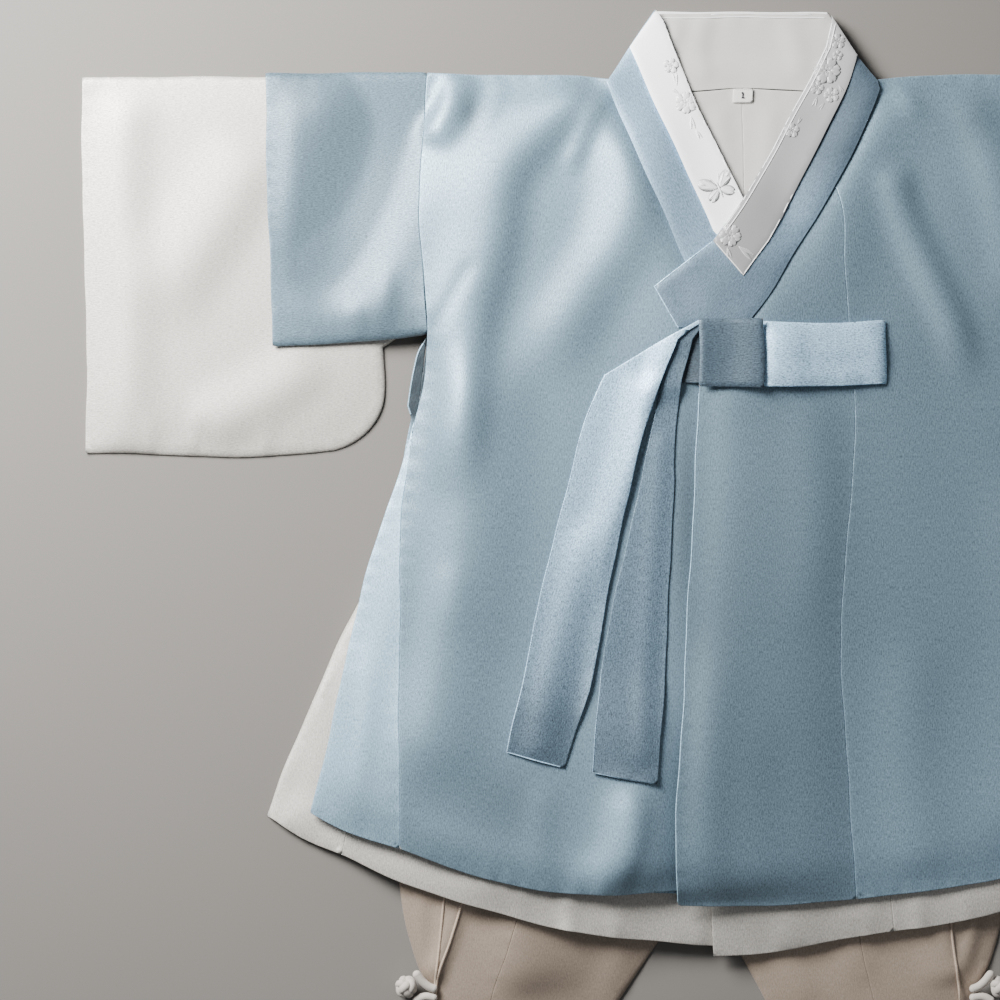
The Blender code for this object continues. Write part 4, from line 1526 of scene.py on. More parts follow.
SIDE_SHUT = Edge(across=(0.6, math.inf), paired=True)                # a gore or leg, at its outer side
ENDS_SHUT = Edge(across=(0.7, math.inf), either=True)                # a waistband, at its two ends
RIGHT_END_SHUT = Edge(across=(0.7, math.inf))                        # a bow's loop, at its outer end
LOWER_END_SHUT = Edge(along=(-math.inf, -0.7))                       # a label folded double
NECK_EDGE = Edge(across=(-math.inf, -0.5), height=(-84, 33.4), paired=True)     # a strip's inner edge
OUTER_EDGE = Edge(along=(-math.inf, -0.3), height=(-math.inf, -60))  # a strip's lower end
LEFT_EDGE = Edge(across=(-math.inf, -0.7), height=(-math.inf, -172))
LAPPED_END = Edge(across=(-math.inf, -0.3), height=(-math.inf, -88))  # the free end of the upper band
TAIL_EDGE = Edge((-math.inf, 0.5), (-math.inf, 0.75), (-math.inf, -176))
LOWER_TAIL_EDGE = replace(TAIL_EDGE, height=(-math.inf, -322))       # what another tail leaves bare
UPPER_EDGE = Edge(along=(0.9, math.inf))
UNDERARM_EDGE = Edge(across=(0.1, math.inf), height=(-186, -143), paired=True)  # the open back gore


def sleeve_shut(ring: Ring, normals: np.ndarray) -> np.ndarray:
    """A sleeve is closed all round but for its cuff and armhole."""
    out = np.abs(ring[:, 0])
    end = (np.abs(out - out.min()) < 9) | (np.abs(out - out.max()) < 7)
    return ~(end & (np.abs(normals[:, 0]) > 0.6))


def nudged(ring: Ring, pins: Sequence[tuple]) -> Ring:
    """Move an outline by pins on it, evenly along it from one pin to the next.

    Args:
        ring: the outline.
        pins: x, y and the move in x and y, mm.

    Returns:
        The moved outline.
    """
    table = np.array(pins, float)
    steps = np.linalg.norm(np.roll(ring, -1, axis=0) - ring, axis=1)
    along = np.cumsum(steps) - steps[0]
    nearest = np.argmin(np.linalg.norm(ring[:, None] - table[None, :, :2], axis=2), axis=0)
    order = np.argsort(along[nearest])
    moves = [np.interp(along, along[nearest][order], table[order, 2 + axis], period=steps.sum())
             for axis in (0, 1)]
    return ring + np.stack(moves, axis=1)


def inseam_shut(ring: Ring, normals: np.ndarray) -> np.ndarray:
    """An inner leg is closed along its inseam, below the crotch."""
    centre = ring[:, 0].mean() - TROUSERS_CENTRE
    return ((normals[:, 0] * math.copysign(1, centre) < -0.2)
            & (ring[:, 1] < CROTCH) & (normals[:, 1] > -0.9))


def tucked_edge(ring: Ring, depth: float = 1.6) -> Ring:
    """How far a collar band's neck edge is turned in under its strip."""
    normals = outward(ring)
    inwards = -np.sign(ring[:, 0].mean()) * normals[:, 0]
    share = (inwards > 0.5) * ease((ring[:, 1] + 82) / 8)
    return normals * (depth * share)[:, None]


# ---------------------------------------------------------------- garments


@dataclass
class Trousers:
    """Baji: an outer and an inner panel to each leg, and a waistband."""

    pile: Pile
    bridge: float = 6.0
    loft: float = 2.0
    creases: tuple = (
        Crease(((-163, -440), (-166, -470), (-169, -498)), 2.4, 4.5, 2.6, 12, 5),
        Crease(((-152, -436), (-160, -472), (-170, -497)), 3.2, 7, 3.2, 12, 5),
        Crease(((-178, -440), (-176, -480), (-172, -500)), 1.4, 5, 6, 12, 8),
        Crease(((-124, -400), (-126, -450), (-120, -510)), 6.5, 22, 52, 30, 20),
        Crease(((-60, -430), (-64, -470), (-80, -520)), 1.4, 14, 12, 20, 15),
        Crease(((-150, -250), (-140, -330), (-130, -420)), 2.4, 24, 22, 40, 40),
        Crease(((-70, -180), (-84, -260), (-70, -360)), 2.0, 22, 26, 40, 40),
        Crease(((30, -180), (22, -270), (34, -380)), 2.0, 24, 20, 40, 40),
        Crease(((102, -240), (90, -330), (88, -430)), 2.4, 24, 26, 40, 30),
        Crease(((24, -440), (20, -470), (40, -515)), 1.5, 14, 12, 20, 15),
        Crease(((112, -440), (115, -470), (119, -500)), 2.8, 26, 2.6, 12, 8),
        Crease(((132, -440), (128, -468), (121, -496)), 3.0, 8, 4, 12, 6),
        Crease(((60, -400), (58, -450), (66, -505)), 1.8, 16, 16, 24, 20),
    )

    pleat_edges: dict = field(default_factory=lambda: {
        "trousers_outer_right": (
            ((-163.5, -436), (-165, -455), (-167.5, -480), (-169.3, -496), (-169.8, -505)),
            ((-152, -440), (-155, -454), (-161, -474), (-168.4, -496), (-169.4, -504))),
        "trousers_outer_left": (((113, -444), (115.5, -470), (119.5, -500), (121, -514)),),
    })

    def lay(self) -> None:
        """Lay both walls and finish the pieces."""
        shapes = {
            "trousers_outer_right": SIDE_SHUT, "trousers_outer_left": SIDE_SHUT,
            "trousers_inner_right": inseam_shut, "trousers_inner_left": inseam_shut,
            "trousers_waistband": ENDS_SHUT,
        }
        # painted shade: the right leg drawn darker above its ankle
        shade = ((-98, -490, 44, 30, -0.28),)
        pieces = [Piece(node, Slot.TROUSERS, 3.6, closed=shut, painted_light_spots=shade) for node, shut in shapes.items()]
        self.pile.lay(pieces, self.bridge)
        self.pile.lay(pieces, self.bridge, self.loft, self.creases)
        for piece in pieces:
            self.pile.finish(piece, ["floor"], self.pleats(piece.node))

    def pleats(self, node: str) -> list[bpy.types.Object]:
        """Raise the pressed edges of the pleats above one ankle.

        Args:
            node: the panel that they are on.

        Returns:
            The edges.
        """
        made = []
        for number, points in enumerate(self.pleat_edges.get(node, ())):
            track = flowing(points, False, 1.5)
            level = Raster.sample(self.pile.top, track) + 0.1 - 0.55 * np.linspace(1, 0, len(track)) ** 8
            level = level + 2.4 * np.exp(-((track[:, 1] + 503) / 7) ** 2)
            path = path_mesh(np.column_stack([track, level]))
            edge = CordRecipe().grow(path, Radius=0.75 * MM, Sides=10,
                                     Finish=self.pile.wardrobe.materials[Slot.TROUSERS])
            # each pleat edge drawn 1.5 times lighter: painted highlight
            made.append(grown_object(f"{node}_pleat_{number + 1}", edge, 1.5))
            own(made[-1], Slot.TROUSERS)
        return made


@dataclass
class Robe:
    """The ivory robe: back, fronts with a left overlap, gores, wide sleeves and a plain collar."""

    pile: Pile
    bridge: float = 14.0
    loft: float = 1.6
    sleeve_creases: tuple = (
        Crease(((-340, 0), (-343, -60), (-338, -130), (-342, -206)), 2.2, 20, 22, 20, 6),
        Crease(((-262, -30), (-284, -70), (-306, -104), (-322, -140)), 3.0, 40, 24, 24, 40),
        Crease(((-226, -150), (-256, -172), (-300, -196)), 2.4, 30, 18, 24, 10),
        Crease(((-300, -176), (-304, -206)), 1.0, 7, 6, 14, 1),
        Crease(((-326, -180), (-328, -206)), 0.9, 6, 6, 14, 1),
        Crease(((-262, -184), (-264, -206)), 0.8, 7, 6, 12, 1),
    )
    front_creases: tuple = (
        Crease(((-240, -300), (-232, -360), (-238, -415)), 1.2, 14, 12, 30, 12),
        Crease(((-60, -380), (-66, -430), (-62, -474)), 1.4, 20, 18, 30, 10),
        Crease(((-140, -300), (-134, -380), (-140, -455)), 1.2, 26, 24, 40, 10),
        Crease(((-100, -60), (-120, -160), (-110, -280)), 1.4, 26, 24, 40, 40),
        Crease(((-95, -440), (-96, -456), (-97, -474)), 1.6, 7, 5, 8, 2),
        Crease(((-69, -450), (-70, -478)), 1.1, 5, 4, 8, 2),
        Crease(((-122, -440), (-123, -468)), 0.9, 5, 4, 8, 2),
        Crease(((-262, -404), (-221, -426), (-189, -441), (-145, -456), (-100, -468), (-56, -474),
                (-14, -475)), 2.4, 7, 26, 14, 10),
    )

    def lay(self) -> None:
        """Lay the walls from the back to the collar and finish the pieces."""
        pieces: dict[str, Piece] = {}
        # painted shade along the robe's hem below the coat, and one painted highlight spot
        shade = ((-115, -447, 55, 15, -0.36), (40, -460, 80, 22, -0.26), (-97, -466, 5, 9, 0.45))
        for side in SIDES:
            pieces[f"robe_back_{side}"] = Piece(f"robe_back_{side}", Slot.ROBE, 7.0)
            pieces[f"robe_sleeve_{side}"] = Piece(f"robe_sleeve_{side}", Slot.ROBE, 4.0, 0.0,
                                                  closed=sleeve_shut)
            # the gores drawn lighter: painted highlight
            pieces[f"robe_gore_{side}"] = Piece(f"robe_gore_{side}", Slot.ROBE, 4.0, closed=SIDE_SHUT,
                                                nap=((0.0, 1.2),))
            pieces[f"robe_front_{side}"] = Piece(f"robe_front_{side}", Slot.ROBE, 4.5, painted_light_spots=shade)
            pieces[f"robe_collar_{side}"] = Piece(f"robe_collar_{side}", Slot.ROBE, 4.0)
        pieces["robe_overlap_left"] = Piece("robe_overlap_left", Slot.ROBE, 5.0, painted_light_spots=shade)
        pieces["robe_collar_back"] = Piece("robe_collar_back", Slot.ROBE, 4.0)
        walls = ("back", "sleeve", "gore")
        self.pile.lay([pieces[f"robe_{wall}_{side}"] for wall in walls for side in SIDES], self.bridge)
        self.pile.lay([pieces["robe_collar_back"]], 6.0)
        for side, sign in SIDES.items():
            names = [f"robe_front_{side}", f"robe_sleeve_{side}", f"robe_gore_{side}"]
            names += ["robe_overlap_left"] if side == "left" else []
            creases = list(self.sleeve_creases + self.front_creases)
            creases = creases if sign < 0 else mirror(creases, 0.85)
            self.pile.lay([pieces[name] for name in names], self.bridge, self.loft, creases)
        for side in SIDES:
            self.pile.lay([pieces[f"robe_collar_{side}"]], 6.0)
        for piece in pieces.values():
            under = ["floor"] if "sleeve" in piece.node else ["trousers_outer_right", "trousers_outer_left"]
            self.pile.finish(piece, under)


@dataclass
class Coat:
    """The pale-blue coat: back, fronts with a left overlap, open side gores and half sleeves."""

    pile: Pile
    bridge: float = 26.0
    loft: float = 3.4
    right_creases: tuple = (
        # the armhole's own folds
        Crease(((-158, 6), (-164, -14), (-176, -38)), 5.4, 9, 18, 5, 14),
        Crease(((-130, 4), (-136, -14), (-147, -32)), 1.2, 8, 5, 10, 14),
        # the long ridge from the neck to the underarm
        Crease(((-86, 4), (-100, -14), (-116, -32), (-129, -48), (-134, -64), (-136, -82), (-141, -104),
                (-149, -132), (-153, -162), (-156, -200), (-158, -236)), 6.4, 40, 20, 14, 50),
        Crease(((-147, -97), (-156, -113), (-166, -132), (-173, -146)), -1.2, 5, 4, 10, 10),
        # the broad ridge from the collar, fading towards the waist
        Crease(((-60, -20), (-60, -42), (-61, -62), (-68, -86), (-84, -114), (-100, -142), (-110, -172)),
               4.6, 27, 24, 22, 46),
        Crease(((-72, -2), (-84, -22), (-92, -40), (-98, -54)), 1.9, 9, 7, 10, 14),
        # slow waves below the tie
        Crease(((-146, -140), (-149, -200), (-152, -250), (-158, -290), (-168, -340), (-178, -400)),
               5.6, 27, 42, 40, 40),
        Crease(((-196, -419), (-145, -434), (-100, -445), (-68, -446), (-30, -444)), 2.6, 7, 26, 24, 10),
        Crease(((-158, -262), (-160, -284), (-158, -310)), 1.0, 14, 16, 16, 20),
        Crease(((-52, -320), (-50, -390), (-56, -450)), 5.0, 48, 22, 60, 6),
        Crease(((-60, -380), (-63, -420), (-76, -452)), 4.2, 22, 12, 24, 2),
        Crease(((-108, -380), (-112, -420), (-110, -450)), 1.2, 13, 12, 20, 4),
        Crease(((-140, -424), (-141, -444)), 1.1, 5, 5, 10, 1),
        Crease(((-128, -430), (-130, -446)), 1.0, 4, 4, 8, 1),
        Crease(((-90, -428), (-92, -449)), 1.2, 5, 5, 10, 1),
        Crease(((-79, -430), (-78, -449)), 1.1, 4, 5, 10, 1),
        Crease(((-212, -300), (-212, -360), (-218, -412)), 1.8, 14, 14, 30, 6),
    )
    left_creases: tuple = (
        Crease(((80, -44), (88, -76), (101, -104), (116, -138), (126, -172)), 4.0, 15, 14, 14, 40),
        Crease(((-38, -453), (20, -455), (64, -453), (141, -440), (200, -420)), 0.8, 7, 22, 12, 10),
        Crease(((86, 2), (90, -8), (98, -24)), 1.5, 9, 9, 8, 14),
        Crease(((120, 2), (136, -40), (148, -90), (150, -140)), 2.6, 20, 18, 20, 40),
        Crease(((160, 2), (158, -24), (162, -50)), 1.5, 9, 9, 10, 16),
        Crease(((36, -170), (40, -230), (32, -320)), 1.2, 22, 20, 20, 60),
        Crease(((150, -200), (156, -300), (152, -420)), 2.4, 30, 26, 50, 20),
        Crease(((96, -290), (90, -370), (98, -440)), 1.6, 24, 24, 50, 10),
        Crease(((10, -330), (4, -390), (10, -448)), 1.0, 20, 20, 40, 8),
    )
    # painted light and shade by y: the underarm crescent of the back and back gore is painted shade, the
    # right front gore a painted highlight, the fronts drawn lighter or darker along y
    painted_light_by_panel: dict = field(default_factory=lambda: {
        "coat_gore_front_right": ((-200, 1.75), (-300, 1.75), (-400, 1.35)),
        **{f"coat_{part}_{side}": ((-130, 1.0), (-140, 0.12), (-185, 0.12), (-192, 1.0))
           for part in ("gore_back", "back") for side in SIDES},
        "coat_front_left": ((0, 0.88), (-90, 0.76), (-150, 0.68), (-300, 0.70), (-450, 0.98)),
        "coat_front_right": ((0, 1.03), (-60, 1.0), (-120, 0.91), (-300, 0.85), (-450, 0.84)),
    })
    # painted highlights on the right hem, near the shoulder, the underarm and on the sleeve; painted shade in
    # the armhole fold, beside the overlap's edge, on the lower right front, near the left shoulder and on the
    # sleeve's top
    painted_light_spots: dict = field(default_factory=lambda: {
        "coat_front_right": ((-69, -407, 12, 17, 0.5), (-84, -432, 12, 15, 0.5), (-133, -396, 22, 20, -0.26),
                             (-150, -19, 7, 12, -0.55), (-112, -19, 14, 14, 0.2),
                             (-150, -137, 8, 12, 0.2), (-159, -172, 9, 42, 0.3), (-30, -240, 9, 75, -0.5)),
        "coat_front_left": ((125, -22, 15, 17, -0.28),),
        "coat_sleeve_right": ((-249, -11, 18, 30, -0.25), (-189, -93, 16, 24, 0.15)),
    })
    sleeve_creases: tuple = (
        Crease(((-182, 4), (-192, -36), (-208, -72), (-226, -104), (-250, -130)), -6.6, 52, 34, 6, 30),
        Crease(((-196, -96), (-196, -120), (-200, -142)), 1.4, 14, 8, 20, 4),
        Crease(((-214, -118), (-210, -142)), 1.6, 8, 6, 10, 2),
        Crease(((-252, 4), (-252, -60), (-254, -120)), 1.2, 10, 14, 10, 20),
    )

    def lay_back(self) -> dict[str, Piece]:
        """Lay the back and the lower walls of the sleeves.

        Returns:
            The coat's pieces by name.
        """
        pieces: dict[str, Piece] = {}
        for side in SIDES:
            for part, spacing in {"back": 7.0, "gore_back": 5.0, "front": 3.4, "gore_front": 3.4}.items():
                node = f"coat_{part}_{side}"
                nap = self.painted_light_by_panel.get(node, ((0.0, 1.0),))
                pieces[node] = Piece(node, Slot.COAT, spacing, pucker=Pucker(0.16, 12.0, 7.0), nap=nap,
                                     painted_light_spots=self.painted_light_spots.get(node, ()))
            node = f"coat_sleeve_{side}"
            # painted shade: the sleeves drawn darker
            pieces[node] = Piece(node, Slot.COAT, 3.4, 0.0, closed=sleeve_shut, nap=((0.0, 0.58),),
                                 painted_light_spots=self.painted_light_spots.get(node, ()))
            gore = pieces[f"coat_gore_back_{side}"]
            bulge = np.sin(np.pi * np.clip((gore.ring[:, 1] + 184) / 40, 0, 1))
            gore.ring = gore.ring + outward(gore.ring) * (0.8 * bulge)[:, None]
        # painted shade: the overlap drawn darker, most at its middle
        pieces["coat_overlap_left"] = Piece("coat_overlap_left", Slot.COAT, 3.4,
                                            nap=((-60, 0.76), (-200, 0.68), (-300, 0.57), (-360, 0.6),
                                                 (-450, 0.74)))
        walls = ("back", "gore_back", "sleeve")
        self.pile.lay([pieces[f"coat_{wall}_{side}"] for wall in walls for side in SIDES], self.bridge)
        return pieces

    def lay_fronts(self, pieces: dict[str, Piece]) -> None:
        """Lay the right front, then the left over it, each with its gore and sleeve.

        Args:
            pieces: the coat's pieces by name.
        """
        for side in SIDES:
            names = [f"coat_front_{side}", f"coat_gore_front_{side}", f"coat_sleeve_{side}"]
            names += ["coat_overlap_left"] if side == "left" else []
            if side == "right":
                creases = list(self.right_creases + self.sleeve_creases)
            else:
                creases = list(self.left_creases) + mirror(self.sleeve_creases)
            self.pile.lay([pieces[name] for name in names], self.bridge, self.loft, creases, droop=30.0)
        for piece in pieces.values():
            under = ["robe_front_right", "robe_front_left", "robe_sleeve_right", "robe_sleeve_left"]
            trims = []
            if "gore_back" in piece.node:
                # a cord along the rolled underarm rim, drawn 1.5 times lighter: painted highlight
                trims.append(pipe(self.pile, piece.node + "_piping", piece, UNDERARM_EDGE, (0.5,), 0.5,
                                  Slot.COAT, 1.5, 1.5))
            if "overlap" in piece.node:
                # the overlap's left edge drawn 2.2 times lighter: painted highlight
                trims.append(pipe(self.pile, "coat_overlap_pressed_edge", piece, LEFT_EDGE, (0.1,), 0.32,
                                  Slot.COAT, 2.2, 1.6))
            self.pile.finish(piece, under, trims)


@dataclass
class Neck:
    """The coat's neck: its lining, label, blue collar bands and white strips."""

    pile: Pile

    def lay_inside(self) -> None:
        """Lay the strip behind the neck, the lining and the label."""
        back = Piece("coat_strip_back", Slot.BROCADE, 3.0)
        self.pile.lay([back], 6.0)
        inside = [Piece("coat_collar_back", Slot.LINING, 2.6, 0.0, pucker=Pucker(0.2, 17.0, 9.0))]
        inside += [Piece(f"coat_lining_{side}", Slot.LINING, 3.0) for side in SIDES]
        creases = [
            Crease(((-34, 36), (-40, 20), (-52, 2)), 1.0, 5, 6, 8, 8),
            Crease(((-20, 38), (-24, 18), (-20, -2)), 0.8, 8, 8, 8, 6),
            Crease(((20, 38), (30, 16), (30, -2)), 0.7, 9, 9, 8, 6),
            Crease(((-14, -12), (-10, -50), (-4, -90)), 0.9, 8, 9, 10, 20),
            Crease(((16, -12), (12, -50), (6, -90)), 0.8, 8, 8, 10, 20),
            Crease(((-30, -10), (-22, -30), (-14, -44)), 0.8, 6, 6, 8, 12),
        ]
        self.pile.lay(inside, 8.0, 3.2, creases, 3.0)
        label = Piece("coat_label", Slot.LABEL, 1.2, 0.0, thickness=0.4, edge=0.2,
                      pucker=Pucker(0.05, 5.0, 2.0), closed=LOWER_END_SHUT, fold=0.5)
        self.pile.lay([label], 2.0)
        self.pile.lay([label], 2.0)
        self.pile.finish(back, ["coat_back_right", "coat_back_left"])
        for piece in inside:
            self.pile.finish(piece, ["coat_back_right", "coat_back_left"])
        self.pile.finish(label, ["coat_lining_right", "coat_lining_left"], [self.mark_label(label)])
        pipe(self.pile, "collar_back_piping", inside[0], UPPER_EDGE, (0.7, 2.6))

    def lay_collar(self) -> None:
        """Lay the collar bands and strips, right under left."""
        # painted light and shade: the right band and strip drawn lighter (painted highlight), the left ones
        # darker (painted shade)
        band_painted_light = {"right": ((0, 1.65), (-80, 1.36)),
                     "left": ((-40, 0.42), (-75, 0.88), (-92, 0.88), (-105, 0.64))}
        strip_painted_light = {"right": ((0.0, 1.5),), "left": ((20, 0.48), (-20, 0.33), (-80, 0.28))}
        for side, grain in {"right": 112.0, "left": 58.0}.items():
            band = Piece(f"coat_collar_{side}", Slot.COAT, 2.6, grain, thickness=0.5, edge=0.3, look="collar",
                         pucker=Pucker(0.05, 14.0, 5.0), flush=2.6, corner=8.0, nap=band_painted_light[side])
            band.ring = band.ring - tucked_edge(band.ring)
            strip = Piece(f"coat_strip_{side}", Slot.BROCADE, 2.2, grain, thickness=0.45, edge=0.3,
                          pucker=Pucker(0.04, 14.0, 4.0), flush=1.8, corner=8.0,
                          nap=strip_painted_light[side])
            self.pile.lay([band], 12.0 if side == "right" else 7.0, stiff=12.0,
                          droop=7.0 if side == "left" else 0.0)
            self.pile.lay([strip], 4.0, stiff=10.0)
            trims = [self.thread_work(f"strip_{side}_motifs", side)]
            if side == "left":
                trims.append(pipe(self.pile, "strip_left_piping", strip, NECK_EDGE, (0.6, 2.5)))
                trims.append(pipe(self.pile, "strip_left_border", strip, OUTER_EDGE, (0.5,), 0.28))
            else:
                trims.append(pipe(self.pile, "strip_right_piping", strip, NECK_EDGE, (0.5,)))
            edges = []
            if side == "left":
                # the lapped end's edge drawn 2.8 times lighter: painted highlight
                edges.append(pipe(self.pile, "collar_left_pressed_edge", band, LAPPED_END, (0.1,), 0.32,
                                  "tie", 2.8))
            self.pile.finish(band, ["coat_front_right", "coat_front_left"], edges)
            self.pile.finish(strip, [f"coat_collar_{side}"], trims)

    def thread_work(self, name: str, side: str) -> bpy.types.Object:
        """Sew the motifs of one strip.

        Args:
            name: the object's name.
            side: which strip.

        Returns:
            The motifs.
        """
        if side == "left":
            sprigs = (
                flower(52.3, 21.4, 4.6, 20) + flower(46.0, 5.0, 7.9, 60, 6) + flower(52.0, 13.4, 3.0, 10)
                + leaf(45.8, 13.2, 5.0, 96) + flower(40.6, -4.6, 4.0, 0) + flower(48.4, -8.6, 4.6, 35)
                + leaf(40.6, -9.4, 6.0, 250) + leaf(52.2, -3.0, 4.5, 300) + leaf(44.5, -13.0, 5.0, 230)
                + flower(26.5, -28.2, 4.4, 15) + leaf(29.6, -24.6, 4.0, 60)
                + flower(-8.2, -86.6, 6.6, 48, 6) + leaf(-3.6, -92.6, 11.0, 322, 0.4)
                + leaf(-9.8, -93.0, 6.5, 285, 0.45)
            )
            # painted shade: the left strip's motifs drawn darker, their outlines lighter
            sprigs = with_painted_light(sprigs, 0.38, 0.8)
        else:
            faint = (
                flower(-31.5, -13.0, 6.6, 30, 6) + leaf(-36.6, -3.6, 7.5, 100) + leaf(-29.0, -20.4, 7.5, 280)
                + leaf(-35.2, -8.0, 5.0, 150) + flower(-39.6, 7.6, 4.6, 12) + leaf(-26.4, -28.0, 6.0, 300)
            )
            # painted highlight: the right strip's motifs drawn lighter, the butterfly's outline darker
            sprigs = with_painted_light(faint, 1.1, 0.8) + with_painted_light(butterfly(-13.8, -60.5, 21.0, 24), 1.1, 0.42)
            sprigs += with_painted_light(leaf(-7.6, -77.0, 5.0, 310), 1.1, 0.6)
        made = Embroidery(self.pile.wardrobe.materials["thread"]).sew(name, sprigs, self.pile.top)
        own(made, Slot.BROCADE)
        return made

    def mark_label(self, label: Piece) -> bpy.types.Object:
        """Sew the label's numeral and its holding stitches.

        Args:
            label: the label.

        Returns:
            The stitches.
        """
        low, high = label.ring.min(0), label.ring.max(0)
        middle = (low + high) / 2 + (0.0, 0.1)
        level = Raster.sample(self.pile.top, middle[None])[0] + 0.16
        stem = [(middle[0], middle[1] + 1.5), (middle[0], middle[1] - 1.5)]
        flag = [(middle[0] - 0.75, middle[1] + 0.9), (middle[0], middle[1] + 1.5)]
        foot = [(middle[0] - 0.75, middle[1] - 1.5), (middle[0] + 0.75, middle[1] - 1.5)]
        places = np.array([(x, y, level) for pair in (stem, flag, foot) for x, y in pair])
        data = path_mesh(places, [(0, 1), (2, 3), (4, 5)])
        ink = PlainFinish("label_thread", (0.03, 0.03, 0.035), pitch=0.3).make()
        numeral = grown_object("label_numeral", CordRecipe().grow(data, Radius=0.4 * MM, Sides=8, Finish=ink))
        own(numeral, Slot.LABEL)
        top = [(low[0] + 0.5, high[1] - 0.5, level), (high[0] - 0.5, high[1] - 0.5, level)]
        thread = StitchRecipe().grow(path_mesh(np.array(top)), Pitch=1.1 * MM, Length=0.8 * MM,
                                     Thickness=0.26 * MM, Finish=self.pile.wardrobe.materials[Slot.LABEL])
        own(grown_object("label_stitches", thread), Slot.LABEL)
        return numeral


@dataclass
class Tie:
    """The coat's tie: a short band, two tails, one loop and the knot over them."""

    pile: Pile
    front_pins: tuple = (
        (-18, -136, 0, 3.5), (-25, -136.2, 0, 3.5), (-32, -136.4, 0, -0.4), (-40, -141.2, 0, 0),
        (-56.7, -151.3, -1, 0), (-72, -162.3, -4.4, 0), (-80.3, -178.8, -3.2, 0), (-89.7, -214.5, -4.5, 0),
        (-97, -245, -5.3, 0), (-110, -300, -6, 0), (-119, -335, -3, 0), (-129.8, -368.5, 0, 0),
        (-98.5, -377.3, 0, 0), (-84.2, -335.5, -1, 0), (-76, -300, -3, 0), (-59.4, -231, -5, 0),
        (-48.4, -192.5, -6.2, 0), (-38, -158, -4.8, 0.5), (-34.7, -147, -2.6, 3.4), (-30, -145.3, -0.5, 7.1),
        (-25, -143.5, 0, 9), (-18, -141, 0, 7),
    )
    back_pins: tuple = (
        (-47.9, -385.6, 0, 0), (-42.9, -313.5, 0, 0), (-38.5, -221.7, 0, 0), (-35.8, -190, -1.5, 0),
        (-33.6, -165, -1, 0), (-29.4, -151.8, -1.8, 0), (-27.5, -146, -1.5, 3), (-18, -143, -4, 8.5),
        (-18, -138, -2, 5.4), (-24, -141.3, -0.5, 7.9), (-29, -144, -1, 7.1), (-34.5, -147, -1, 6.7),
        (-40, -150, -1, 3), (-52, -200, 0, 0), (-66, -262, 0, 0), (-83, -380, 0, 0),
    )
    band_pins: tuple = (
        (-40, -147, 0, 0), (-30, -147, 0, 8), (-25, -147, 0, 11.5), (-20, -147, 0, 13), (-10, -147, 0, 0),
        (20, -147, 0, 0), (20, -167, 0, 0), (-25, -167, 0, 0), (-40, -167, 0, 0),
    )

    def lay(self) -> None:
        """Lay the parts of the bow from the bottom up."""
        # painted light and shade: band, knot and back tail drawn darker, the loop and the front tail's upper
        # part lighter, the front tail darker towards its lower end
        band = Piece("tie_band", Slot.COAT, 3.0, 0.0, look="tie", nap=((0.0, 0.2),))
        back = Piece("tie_tail_back", Slot.COAT, 2.6, 82.0, pucker=Pucker(0.1, 16.0, 5.0), look="tie",
                     corner=12.0, nap=((-150, 0.42), (-200, 0.6), (-300, 0.6), (-390, 0.4)))
        front = Piece("tie_tail_front", Slot.COAT, 2.6, 74.0, pucker=Pucker(0.1, 16.0, 5.0), look="tie",
                      corner=18.0, nap=((-140, 1.95), (-250, 1.5), (-310, 0.9), (-350, 0.46), (-380, 0.42)))
        front.ring = nudged(front.ring, self.front_pins)
        back.ring = nudged(back.ring, self.back_pins)
        band.ring = nudged(band.ring, self.band_pins)
        loop = Piece("tie_loop", Slot.COAT, 2.2, 0.0, pucker=Pucker(0.35, 21.0, 7.0), closed=RIGHT_END_SHUT,
                     fold=2.0, look="tie", nap=((0.0, 2.25),))
        knot = Piece("tie_knot", Slot.COAT, 1.8, 0.0, thickness=0.9, edge=0.3, pucker=Pucker(0.04, 12.0, 4.0),
                     flush=1.4, corner=8.0, look="tie", nap=((0.0, 0.33),))
        knot.ring[:, 0] -= 2.6 * ease((knot.ring[:, 0] - 2) / 8)
        loop.ring[:, 0] -= np.where(loop.ring[:, 0] > 45, 2.0, 2.6)
        self.pile.lay([band], 5.0)
        self.pile.lay([back], 6.0, creases=[
            Crease(((-44, -190), (-50, -260), (-55, -330), (-56, -376)), 1.0, 9, 8, 12, 4)])
        self.pile.lay([front], 6.0, creases=[
            Crease(((-47, -160), (-52, -178), (-58, -204), (-65, -228), (-73, -253), (-81, -296)),
                   3.2, 22, 3, 14, 34),
            Crease(((-86, -236), (-94, -280), (-106, -330), (-114, -374)), 2.2, 14, 16, 24, 4)])
        self.pile.lay([loop], 5.0)
        self.pile.lay([loop], 5.0, 2.4, [
            Crease(((12, -146), (40, -150), (79, -146)), 0.8, 8, 8, 10, 6)], 12.0)
        self.pile.lay([knot], 14.0, stiff=14.0)
        for piece in (band, back, front, loop, knot):
            edges = []
            if piece in (front, back):
                shown = TAIL_EDGE if piece is front else LOWER_TAIL_EDGE
                # the tails' edges drawn lighter: painted highlight
                edges.append(pipe(self.pile, piece.node + "_pressed_edge", piece, shown, (0.1,), 0.32,
                                  "tie", 2.2 if piece is front else 1.4, 1.6))
            self.pile.finish(piece, ["coat_front_right", "coat_overlap_left"], edges)


